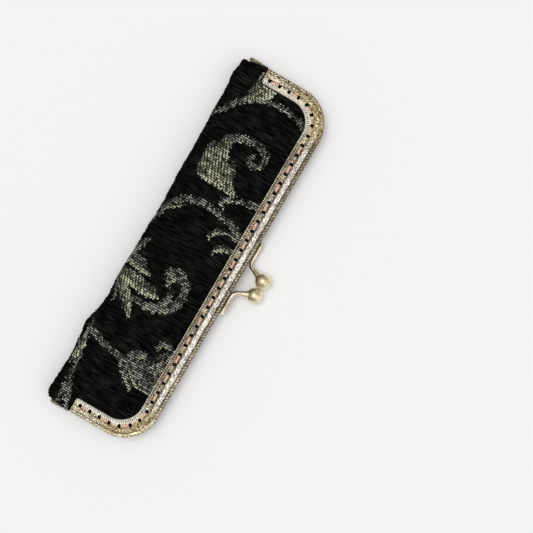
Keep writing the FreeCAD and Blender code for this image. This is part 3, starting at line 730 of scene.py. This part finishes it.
def alongFrame(travel, inset):
    # travel runs from the middle of the rail to the tip of the right leg, and inset from outside to inside
    form = frameForm
    width = inset / form["railFace"]
    outerC, innerC = form["outerCorner"], form["innerCorner"]
    railEnd = (halfLength - outerC) * (1 - width) + (halfLength - form["legFace"] - innerC) * width
    legStart = (railEdge + outerC) * (1 - width) + (railEdge + form["railFace"] + innerC) * width
    radius = outerC * (1 - width) + innerC * width
    onRail = np.clip(travel / railRun, 0, 1)
    onCorner = np.clip((travel - railRun) / cornerRun, 0, 1) * math.pi / 2
    onLeg = np.clip((travel - railRun - cornerRun) / legRun, 0, 1)
    past = np.clip(inset - form["railFace"] + form["tipRound"], 0, form["tipRound"])
    tip = legTip - form["tipRound"] + np.sqrt(form["tipRound"] ** 2 - past**2)
    x = railEnd * onRail + radius * np.sin(onCorner)
    y = legStart - radius * np.cos(onCorner) + (tip - legStart) * onLeg
    return x, y


def hump(values, middle, half, power=2):
    return np.clip(1 - np.abs((values - middle) / half) ** power, 0, 1)


def lineAt(values, half):
    return np.exp(-((values / half) ** 2))


def ticksAt(turns, gain, offset):
    return np.clip(gain * np.cos(2 * math.pi * turns) + offset, 0, 1)


def weighed(name, fields):
    return sum(share * fields[feature] for feature, share in ornamentShares[name].items())


def vineLines(travel, inset):
    # a running vine with a curl in each bend, among veins that wander like engraving
    form = ornament
    phase = 2 * math.pi * travel / form["vinePeriod"]
    across = inset - frameForm["ridgeLine"]
    lines = lineAt(across - form["vineSwing"] * np.sin(phase), form["vineHalf"])
    bend = np.round((phase - math.pi / 2) / math.pi)
    fromBend = (phase - math.pi / 2 - bend * math.pi) * form["vinePeriod"] / (2 * math.pi)
    out = across * np.where(bend % 2 == 0, 1, -1)
    offset, radius, half = form["curl"]
    lines = np.maximum(lines, lineAt(np.hypot(fromBend, out + offset) - radius, half))
    along, aside = form["veinScale"]
    veins = np.cos(form["veins"] * noiseOver(travel * along, inset * aside, seed=7.7))
    return np.maximum(lines, form["veinShare"] * easeBetween(*form["veinEdge"], veins))


def filigree(travel, inset):
    # scrolls that cover corners and legs
    form = ornament
    along, aside = form["scrollScale"]
    share, scale = form["scrollFine"]
    swirl = noiseOver(travel * along, inset * aside, seed=4.1)
    swirl = swirl + share * noiseOver(travel * scale, inset * scale, seed=1.3)
    scrolls = easeBetween(*form["scrollEdge"], np.cos(form["scrolls"] * swirl))
    return scrolls * hump(inset, *form["scrollField"], 6)


def holeMarks(x, y):
    # a raised rim round every hole, and a four-petalled flower in the gaps that no stitch covers
    places = np.array(holePlaces())
    rims, flowers = np.zeros_like(x), np.zeros_like(x)
    radius, half = sewingHoles["rim"]
    for across, along in places:
        rims = np.maximum(rims, lineAt(np.hypot(x - across, y - along) - radius, half))
    radius, half = sewingHoles["petal"]
    for across, along in (places[1:-1:2] + places[2::2]) / 2:
        distance, angle = np.hypot(x - across, y - along), np.arctan2(y - along, x - across)
        petals = 0.5 + 0.5 * np.cos(sewingHoles["petals"] * angle)
        flowers = np.maximum(flowers, lineAt(distance - radius, half) * petals)
    return rims, flowers


def embossing(travel, inset, x, y):
    # gives the ornament's height, how bright its metal is rubbed, with painted light along the outer edge,
    # and how golden it is
    form, line = ornament, frameForm["ridgeLine"]
    pastRail = np.abs(travel) - railRun
    turned = easeBetween(-form["turnSpread"], form["turnSpread"], pastRail)    # 0 on the rail, 1 past it
    corner = hump(pastRail, cornerRun / 2, cornerRun / 2 + form["cornerSpread"], 4)
    corner = corner * hump(inset, *form["field"], 6)
    swing, pitch = form["scallop"]
    innerHalf = frameForm["ridgeInnerHalf"] + swing * np.cos(2 * math.pi * travel / pitch)
    outerSide = hump(inset, line, frameForm["ridgeOuterHalf"], 4)
    ridge = np.where(inset > line, hump(inset, line, innerHalf, 2.4), outerSide)
    ticks = ticksAt(travel / form["beadPitch"], *form["beadTicks"])
    rope, beads = hump(inset, *form["rope"]), hump(inset, *form["beads"], 4)
    comb = easeBetween(*form["combStart"], inset) * (1 - easeBetween(*form["combEnd"], inset))
    combEdges = np.maximum(*(lineAt(inset - place, half) for place, half in form["combEdges"]))
    along, aside = form["nickPitch"]
    edge = hump(inset, *form["edge"]) * ticksAt(travel / along + inset / aside, *form["nickTicks"])
    band = hump(inset, *form["sewingBand"], 6)
    hollows = sum(deep * lineAt(inset - place, half) for place, half, deep in form["hollows"])
    scrolls = filigree(travel, inset)
    grain = noiseOver(travel * form["stippleScale"], inset * form["stippleScale"], seed=6.6)
    fields = {
        "plain": 1.0, "ridge": ridge, "lines": vineLines(travel, inset) * ridge, "scrolls": scrolls,
        "edge": edge, "beads": beads, "beadTicks": beads * ticks, "rope": rope, "ropeTicks": rope * ticks,
        "comb": comb, "combTicks": comb * ticks, "combEdges": comb * combEdges,
        "band": band, "marks": band * np.maximum(*holeMarks(x, y)), "hollows": (1 - turned) * hollows,
        "railRidge": (1 - turned) * ridge, "legField": turned * (1 - comb), "corner": corner,
        "cornerScrolls": corner * scrolls, "cornerRidge": corner * ridge,
        # painted light on the outer band: brighter towards the left end, darker towards the right
        "paintedEdgeLight": x * hump(inset, *form["outerBand"]),
        "grain": grain, "stipple": grain * (inset < form["stippleEnd"]),
        "wear": grainOver(travel, inset, form["wearGrain"], seed=3.3),
    }
    height, polishAndEdgeLight = (
        (1 - turned) * weighed("rail" + kind, fields) + turned * weighed("leg" + kind, fields)
        + weighed("face" + kind, fields) for kind in ("Height", "Polish"))
    return height, np.clip(polishAndEdgeLight, 0, 1), np.clip(weighed("faceGold", fields), 0, 1)


def frameStrip(side):
    section = sectionPoints()
    steps = frameForm["steps"]
    share, column = np.meshgrid(np.linspace(-1, 1, steps + 1), np.arange(len(section)), indexing="ij")
    travel, mirror = share * (railRun + cornerRun + legRun), np.where(share < 0, -1, 1)
    inset, level = section[column, 0], section[column, 1]
    x, y = alongFrame(np.abs(travel), inset)
    height, polishAndEdgeLight, gold = embossing(travel, inset, x * mirror, y)
    onFace = easeBetween(*frameForm["faceLevels"], level)
    wear = grainOver(travel, level, frameForm["wallGrain"], seed=2.2)
    wallPolish = frameForm["wallPolish"] + frameForm["wallWear"] * wear
    around = np.gradient(section, axis=0)
    around /= np.linalg.norm(around, axis=1, keepdims=True)
    outward = np.stack((-around[:, 1], around[:, 0]), axis=1)    # out of the strip, in its own section
    innerX, innerY = alongFrame(np.abs(travel), inset - outward[column, 0] * frameForm["sheet"])
    innerLevel = level - outward[column, 1] * frameForm["sheet"]
    turned = np.array((side, 1, side))
    outer = np.stack((x * mirror, y, level + height * onFace), axis=2) * turned
    inner = np.stack((innerX * mirror, innerY, innerLevel), axis=2) * turned
    bm = gridShape(len(section) - 1, steps)
    addValues(bm, "polishAndEdgeLight", wallPolish + (polishAndEdgeLight - wallPolish) * onFace)
    addValues(bm, "gold", gold)
    addVectors(bm, "inward", inner - outer)
    moveTo(bm.verts, outer)
    return bm


def punchHoles(bm, side):
    # faces inside a hole go, and the rim is drawn to a true circle
    places = [Vector((across * side, along)) for across, along in holePlaces()]
    radius = sewingHoles["radius"]
    gone = set()
    for face in bm.faces:
        centre = face.calc_center_median()
        onFace = abs(centre.z) > sewingHoles["level"]
        if onFace and any((centre.xy - place).length < radius for place in places):
            gone.add(face)
    rim = {vert for face in gone for vert in face.verts if any(near not in gone for near in vert.link_faces)}
    for vert in rim:
        place = min(places, key=lambda spot: (vert.co.xy - spot).length)
        vert.co.xy = place + (vert.co.xy - place).normalized() * radius
    bmesh.ops.delete(bm, geom=list(gone), context="FACES")


def hingeTabs(bm, node):
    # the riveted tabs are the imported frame's own, cut off just inside the leg tips
    tabs = bmesh.new()
    tabs.from_mesh(frame["nodes"][node].data)
    bmesh.ops.scale(tabs, vec=(1 / mm, 1 / mm, 1 / mm), verts=tabs.verts[:])
    bmesh.ops.translate(tabs, vec=(0, 0, -midHeight), verts=tabs.verts[:])
    bmesh.ops.remove_doubles(tabs, verts=tabs.verts[:], dist=frameForm["tabWeld"])
    bmesh.ops.bisect_plane(
        tabs, geom=tabs.verts[:] + tabs.edges[:] + tabs.faces[:], dist=0.0001,
        plane_co=(0, legTip - frameForm["tabOverlap"], 0), plane_no=(0, 1, 0), clear_inner=True)
    bmesh.ops.holes_fill(tabs, edges=[edge for edge in tabs.edges if edge.is_boundary], sides=0)
    for name in ("polishAndEdgeLight", "gold"):
        layer = tabs.verts.layers.float.new(name)
        for vert in tabs.verts:
            vert[layer] = frameForm["tabPolish"]
    spare = bpy.data.meshes.new("tabs")
    tabs.to_mesh(spare)
    tabs.free()
    bm.from_mesh(spare)
    bpy.data.meshes.remove(spare)


def framePiece(name, side, body, material):
    bm = frameStrip(side)
    punchHoles(bm, side)
    thickenStored(bm)
    hingeTabs(bm, name)
    finishRigid(bm, name, "_embossed", body, material, sharpAngle=60)


# sewing thread: short two-ply stitches over every second gap between the holes

threadForm = {
    "ply": 0.36,    # radius of one ply
    "spread": 0.3,    # how far each ply lies from the stitch's own line
    "twists": 1.6,
    "face": 5.2,    # height of the frame's sewing band over the parting plane
    "rise": 0.42,
    "dip": 1.2,
    "steepness": 0.55,    # of the ends, where 1 is a half circle
    "flatness": 0.5,
    "drawIn": 0.45,    # how much the plies draw together in the holes
    "drawPower": 0.6,
    "inside": 0.95,    # how far from the hole's middle the thread comes up, towards the stitch
    "slack": 0.12,
    "rings": 26,
    "sides": 8,
    "weld": 0.002,
}


def stitchTube(bm, start, finish, phase, slack):
    form = threadForm
    sides, rings = form["sides"], form["rings"]
    made = bmesh.ops.create_grid(bm, x_segments=sides, y_segments=rings, size=0.5)["verts"]
    turn, run = np.meshgrid(np.linspace(0, 2 * math.pi, sides + 1), np.linspace(0, 1, rings + 1))
    angle = math.pi * (1 - run)
    reach = np.sign(np.cos(angle)) * np.abs(np.cos(angle)) ** form["steepness"] / 2
    lifted = np.sin(angle)
    level = form["face"] - form["dip"] + (form["rise"] + slack + form["dip"]) * lifted ** form["flatness"]
    middle, whole = (start + finish) / 2, finish - start
    whole = whole * (1 - 2 * form["inside"] / whole.length)
    line = np.stack((middle.x + whole.x * reach, middle.y + whole.y * reach, level), axis=2)
    along = np.gradient(line, axis=0)
    along /= np.linalg.norm(along, axis=2, keepdims=True)
    aside = np.array((-whole.y, whole.x, 0)) / whole.length
    over = np.cross(along, aside)
    lay = phase + 2 * math.pi * form["twists"] * run
    narrow = 1 - form["drawIn"] * (1 - lifted ** form["drawPower"])
    across = narrow * (form["spread"] * np.cos(lay) + form["ply"] * np.cos(turn))
    up = narrow * (form["spread"] * np.sin(lay) + form["ply"] * np.sin(turn))
    points = line + across[:, :, None] * aside + up[:, :, None] * over
    points[:, :, 2] = np.minimum(points[:, :, 2], midHeight - clothForm["floorGap"])
    moveTo(made, points)


def stitchPiece(name, side, body, material):
    bm = bmesh.new()
    holes = [Vector(place) for place in holePlaces()]
    for index in range(0, len(holes), 2):
        slack = threadForm["slack"] * noise.noise((index * 0.37, side, 0.5))
        for ply in (0, math.pi):
            stitchTube(bm, holes[index], holes[index + 1], ply + index, slack)
    bmesh.ops.remove_doubles(bm, verts=bm.verts[:], dist=threadForm["weld"])
    bmesh.ops.holes_fill(bm, edges=[edge for edge in bm.edges if edge.is_boundary], sides=0)
    if side < 0:
        halfTurn = Matrix.Rotation(math.pi, 3, "Y")
        bmesh.ops.rotate(bm, verts=bm.verts[:], cent=(0, 0, 0), matrix=halfTurn)
    bmesh.ops.recalc_face_normals(bm, faces=bm.faces[:])
    finishRigid(bm, name, "_twisted", body, material, sharpAngle=80)


# finishes, each colour or pair of colours by name

clothColours = {
    "pile": ((0.0012, 0.0012, 0.0012, 1), (0.032, 0.032, 0.030, 1)),
    "yarn": ((0.54, 0.545, 0.47, 1), (0.60, 0.605, 0.42, 1)),
    "yarnGaps": (0.008, 0.008, 0.007, 1),
    "cotton": ((0.05, 0.045, 0.04, 1), (0.065, 0.058, 0.05, 1)),
    "cottonGaps": (0.018, 0.016, 0.014, 1),
    "slubs": (0.09, 0.082, 0.072, 1),
    "fleece": ((0.45, 0.43, 0.39, 1), (0.75, 0.73, 0.69, 1)),
    "thread": ((0.60, 0.36, 0.25, 1), (0.84, 0.58, 0.44, 1)),
}
brassFinish = {
    "silvery": (
        (0.06, 0.045, 0.03, 1), (0.23, 0.195, 0.15, 1), (0.54, 0.502, 0.447, 1), (0.95, 0.935, 0.905, 1)),
    "golden": ((0.06, 0.042, 0.018, 1), (0.25, 0.19, 0.10, 1), (0.57, 0.47, 0.28, 1), (0.95, 0.86, 0.60, 1)),
    "balls": ((0.96, 0.86, 0.62, 1), (0.74, 0.59, 0.32, 1)),
    "ballRoughness": (0.26, 0.42),
    "stems": ((0.82, 0.75, 0.60, 1), (0.44, 0.37, 0.26, 1)),
    "stemRoughness": (0.1, 0.24),
    "specks": (0.16, 0.11, 0.05, 1),
}


def toneRamp(tree, level, colours):
    ramp = addNode(tree, "ValToRGB", {"Fac": level})
    stops = ramp.color_ramp.elements
    stops[0].position, stops[0].color = 0.0, colours[0]
    stops[1].position, stops[1].color = 1.0, colours[-1]
    for index, colour in enumerate(colours[1:-1], start=1):
        stops.new(index / (len(colours) - 1)).color = colour
    return ramp.outputs[0]


def rounded(tree, value, power):
    # a soft bump over each whole step of value
    wave = maths(tree, "SINE", times(tree, maths(tree, "FRACT", value), math.pi))
    return maths(tree, "POWER", wave, power)


def yarnDashes(tree, rib, along):
    # short dashes on every rib: gives the dashes' form and two chance values that each dash keeps to itself
    column = plus(tree, rib, 0.5)
    columnNumber = maths(tree, "FLOOR", column)
    start = addNode(tree, "TexWhiteNoise", {"W": columnNumber}, noise_dimensions="1D").outputs["Value"]
    step = plus(tree, maths(tree, "DIVIDE", along, chenille["dash"]), times(tree, start, 7.0))
    cell = addNode(tree, "CombineXYZ", {0: columnNumber, 1: maths(tree, "FLOOR", step)}).outputs[0]
    chance = addNode(tree, "TexWhiteNoise", {"Vector": cell}, noise_dimensions="2D")
    form = times(tree, rounded(tree, column, 3.0), rounded(tree, step, 1.3))
    second = addNode(tree, "SeparateColor", {0: chance.outputs["Color"]}).outputs[1]
    return form, chance.outputs["Value"], second


def twillRows(tree, rib, along):
    # slanting rows of the fans, over the same ribs
    slant = maths(tree, "SUBTRACT", along, times(tree, rib, 0.5))
    slant = maths(tree, "DIVIDE", slant, chenille["twill"])
    return times(tree, rounded(tree, plus(tree, rib, 0.5), 0.8), rounded(tree, slant, 2.2))


def chenilleMaterial():
    material, tree, shader = newMaterial("ribbed_chenille")
    blank = attribute(tree, "blank")["Vector"]
    rib, along = addNode(tree, "SeparateXYZ", {0: blank}).outputs[:2]
    depth, slope, fanDepth = addNode(tree, "SeparateXYZ", {0: attribute(tree, "figure")["Vector"]}).outputs
    # black pile with a faint shine along its ribs
    streaks = clothNoise(tree, blank, 1.0, 0.13, 3.0, 0.65)
    nap = clothNoise(tree, blank, 3.4, 0.8, 2.0, 0.6)
    patches = noiseAt(tree, blank, 0.09)
    shine = times(tree, remap(tree, streaks, 0.42, 0.72), remap(tree, nap, 0.35, 0.7, 0.3, 1.0))
    shine = times(tree, shine, remap(tree, patches, 0.35, 0.65, 0.35, 1.0))
    ground = mixColour(tree, shine, *clothColours["pile"])
    # woven figures: dashes of pale yarn, in slanting rows in the fans
    form, chance, second = yarnDashes(tree, rib, along)
    fan = remap(tree, fanDepth, -0.3, 0.6)
    shown = maths(tree, "GREATER_THAN", remap(tree, depth, -0.75, 0.6), chance)
    rowPatches = remap(tree, noiseAt(tree, blank, 0.22), 0.36, 0.6, 0.25, 1.0)
    rows = times(tree, twillRows(tree, rib, along), 1.4)
    form = mixColour(tree, times(tree, fan, rowPatches), form, rows)
    # they get a painted highlight along their left and lower edges, and their dashes differ, least in the
    # fans
    clumps = clothNoise(tree, blank, 0.5, 0.14, 3.0)
    fade = clothNoise(tree, blank, 0.16, 0.13)
    twist = clothNoise(tree, blank, 2.2, 1.7, 2.0, 0.6)
    edge = times(tree, remap(tree, depth, 2.4, 0.5), remap(tree, slope, 0.15, 0.9))
    bright = remap(tree, clumps, 0.32, 0.68, 0.05, 0.7)
    bright = times(tree, bright, remap(tree, fade, 0.38, 0.62, 0.35, 1.2))
    bright = plus(tree, bright, times(tree, edge, 1.4))
    spread = remap(tree, fan, 0.0, 1.0, 4.4, 3.4)
    uneven = times(tree, maths(tree, "SUBTRACT", second, 0.5), spread)
    bright = times(tree, bright, maths(tree, "MAXIMUM", plus(tree, uneven, 1.7), 0.15))
    bright = times(tree, bright, remap(tree, twist, 0.36, 0.64, 0.35, 1.65))
    # the fans' yarn is golder, and the painted edge highlight takes the same gold
    pale = mixColour(tree, maths(tree, "MAXIMUM", fan, edge), *clothColours["yarn"])
    yarn = mixColour(tree, times(tree, bright, form), clothColours["yarnGaps"], pale)
    relief = plus(tree, plus(tree, streaks, times(tree, form, shown)), nap)
    feed(tree, shader, {
        "Base Color": mixColour(tree, shown, ground, yarn), "Roughness": 0.9, "Specular IOR Level": 0.015,
        "Normal": bumped(tree, relief, 0.6, 0.0003)})
    return material


def liningMaterial():
    material, tree, shader = newMaterial("plain_cotton")
    blank = attribute(tree, "blank")["Vector"]
    warp, weft = clothColours["cotton"]
    threads = {"Color1": warp, "Color2": weft, "Mortar": clothColours["cottonGaps"]}
    weave = addNode(tree, "TexBrick", {"Vector": blank, "Scale": 3.2, "Mortar Size": 0.09, **threads})
    slubs = clothNoise(tree, blank, 0.3, 3.0, 3.0)
    share = remap(tree, slubs, 0.4, 0.7, 0.0, 0.5)
    colour = mixColour(tree, share, weave.outputs["Color"], clothColours["slubs"])
    relief = bumped(tree, weave.outputs["Fac"], 0.4, 0.0001)
    feed(tree, shader, {"Base Color": colour, "Roughness": 0.9, "Normal": relief})
    return material


def fleeceMaterial():
    material, tree, shader = newMaterial("padding_fleece")
    fluff = noiseAt(tree, objectPlace(tree), 900.0, 4.0, 0.7)
    colour, relief = mixColour(tree, fluff, *clothColours["fleece"]), bumped(tree, fluff, 0.7, 0.0004)
    feed(tree, shader, {"Base Color": colour, "Roughness": 0.95, "Normal": relief})
    return material


def frameBrassMaterial():
    material, tree, shader = newMaterial("antique_brass_stamped")
    grime = noiseAt(tree, objectPlace(tree), 420.0, 4.0, 0.65)
    level = plus(tree, attribute(tree, "polishAndEdgeLight")["Fac"], remap(tree, grime, 0.25, 0.75, -0.15, 0.15))
    silvery, golden = (toneRamp(tree, level, brassFinish[tone]) for tone in ("silvery", "golden"))
    colour = mixColour(tree, attribute(tree, "gold")["Fac"], silvery, golden)
    feed(tree, shader, {
        "Base Color": colour, "Metallic": 1.0, "Roughness": remap(tree, level, 0.1, 0.9, 0.55, 0.3),
        "Normal": bumped(tree, grime, 0.25, 0.0001)})
    return material


def claspBrassMaterial(name, tones, roughness):
    material, tree, shader = newMaterial(name)
    spot = objectPlace(tree)
    tarnish = noiseAt(tree, spot, 260.0, 4.0, 0.6)
    specks = noiseAt(tree, spot, 1500.0)
    colour = mixColour(tree, remap(tree, tarnish, 0.38, 0.68), *tones)
    colour = mixColour(tree, remap(tree, specks, 0.62, 0.75, 0.0, 0.5), colour, brassFinish["specks"])
    feed(tree, shader, {
        "Base Color": colour, "Metallic": 1.0, "Roughness": remap(tree, tarnish, 0.3, 0.7, *roughness),
        "Normal": bumped(tree, specks, 0.12, 0.0001)})
    return material


def threadMaterial():
    material, tree, shader = newMaterial("salmon_thread")
    fibres = noiseAt(tree, objectPlace(tree), 2600.0, 3.0)
    feed(tree, shader, {
        "Base Color": mixColour(tree, fibres, *clothColours["thread"]), "Roughness": 0.7,
        "Specular IOR Level": 0.2, "Normal": bumped(tree, fibres, 0.3, 0.0001)})
    return material


# assembly

layerCloth = {"cover": chenilleMaterial(), "padding": fleeceMaterial(), "lining": liningMaterial()}
frameBrass, salmonThread = frameBrassMaterial(), threadMaterial()
ballBrass = claspBrassMaterial("antique_brass_balls", brassFinish["balls"], brassFinish["ballRoughness"])
stemBrass = claspBrassMaterial("antique_brass_stems", brassFinish["stems"], brassFinish["stemRoughness"])

for layer, form in clothLayers.items():
    for part in ("front", "spine", "rear"):
        node = part + "_" + layer
        piece = clothPiece(node + "_sewn", layer, part, layerCloth[layer])
        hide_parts(node)
        if part == "spine":
            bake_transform(piece)
        else:
            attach(piece, part + "_half")

for name, side, body in (("front_frame", 1, "front_half"), ("rear_frame", -1, "rear_half")):
    framePiece(name, side, body, frameBrass)
for name, side, body in (("front_stitches", 1, "front_half"), ("rear_stitches", -1, "rear_half")):
    stitchPiece(name, side, body, salmonThread)

turnedForm = {
    "weld": 0.000002,
    "sharpAngle": 40,
}
turnedFinish = {
    "front_clasp_stem": stemBrass,
    "rear_clasp_stem": stemBrass,
    "front_clasp_ball": ballBrass,
    "rear_clasp_ball": ballBrass,
    "left_hinge_rivet": stemBrass,
    "right_hinge_rivet": stemBrass,
}
for name, material in turnedFinish.items():
    node = frame["nodes"][name]
    node.data.materials.clear()
    node.data.materials.append(material)
    node.data.polygons.foreach_set("use_smooth", [True] * len(node.data.polygons))
    weld = node.modifiers.new("weld", "WELD")
    weld.merge_threshold = turnedForm["weld"]
    split = node.modifiers.new("split", "EDGE_SPLIT")
    split.split_angle = math.radians(turnedForm["sharpAngle"])
print("clasp and rivets finished")


# floor, light and camera

studio = {
    "floorSize": 40.0,
    "floorColour": (0.81, 0.81, 0.807, 1),
    "sunShare": 0.34,    # of the light that falls on the floor
    "sunAngle": 27.0,    # degrees across, for soft shadow edges
    "lightAxis": (0.0, 0.15, 1.0),
    # how bright the sky is against the cosine from the light's axis
    "sky": ((0.0, 0.13), (0.5, 0.15), (0.78, 0.2), (0.906, 0.4), (0.955, 0.85), (0.985, 1.0)),
    "skyStrength": 2.16,
    # a broad pale fill on the clasp's side: its axis, the cosines of its soft edge, and its brightness
    "fillAxis": (0.05, -0.9, 0.72),
    "fillEdge": (0.74, 0.93),
    "fillLevel": 0.5,
    "cameraPlace": (12.215, -26.13, 850.0),
    "cameraRight": (0.5045, -0.8634, 0.0),
    "cameraUp": (0.8634, 0.5045, 0.0),
    "fieldWidth": 248.7,
    "fieldHeight": 10.3,    # the level at which the picture's width was measured
    "sensor": 36.0,
}


def makeFloor():
    bm = bmesh.new()
    bmesh.ops.create_grid(bm, x_segments=1, y_segments=1, size=studio["floorSize"] / 2)
    mesh = bpy.data.meshes.new("floor")
    bm.to_mesh(mesh)
    bm.free()
    material, tree, shader = newMaterial("pale_floor")
    feed(tree, shader, {"Base Color": studio["floorColour"], "Roughness": 1.0, "Specular IOR Level": 0.0})
    mesh.materials.append(material)
    addObject("floor", mesh)


def cosineTo(tree, direction, axis):
    node = addNode(tree, "VectorMath", {0: direction, 1: axis}, operation="DOT_PRODUCT")
    return node.outputs["Value"]


def makeLight():
    axis = Vector(studio["lightAxis"]).normalized()
    sun = bpy.data.lights.new("key", "SUN")
    sun.energy = studio["sunShare"] * math.pi
    sun.angle = math.radians(studio["sunAngle"])
    key = addObject("key", sun)
    key.rotation_euler = axis.to_track_quat("Z", "Y").to_euler()
    key.visible_glossy = False
    world = bpy.data.worlds.new("studio")
    world.use_nodes = True
    tree = world.node_tree
    direction = addNode(tree, "TexCoord", {}).outputs["Generated"]
    ramp = addNode(tree, "ValToRGB", {"Fac": cosineTo(tree, direction, axis)})
    stops = ramp.color_ramp.elements
    for index, (position, level) in enumerate(studio["sky"]):
        stop = stops[index] if index < 2 else stops.new(position)
        stop.position, stop.color = position, (level, level, level, 1)
    fillAxis, fillLevel = Vector(studio["fillAxis"]).normalized(), studio["fillLevel"]
    fill = remap(tree, cosineTo(tree, direction, fillAxis), *studio["fillEdge"])
    sky = mixColour(tree, fill, ramp.outputs[0], (fillLevel, fillLevel, fillLevel, 1))
    feed(tree, tree.nodes["Background"], {"Color": sky, "Strength": studio["skyStrength"]})
    bpy.context.scene.world = world


def makeCamera():
    lens = bpy.data.cameras.new("camera")
    place = Vector(studio["cameraPlace"])
    lens.sensor_width = studio["sensor"]
    lens.lens = studio["sensor"] * (place.z - studio["fieldHeight"]) / studio["fieldWidth"]
    right, up = Vector(studio["cameraRight"]), Vector(studio["cameraUp"])
    camera = addObject("camera", lens)
    turn = Matrix((right, up, right.cross(up))).transposed().to_4x4()
    camera.matrix_world = Matrix.Translation(place * mm) @ turn
    bpy.context.scene.camera = camera


makeFloor()
makeLight()
makeCamera()
bpy.context.scene.view_settings.view_transform = "Standard"
print("studio ready")
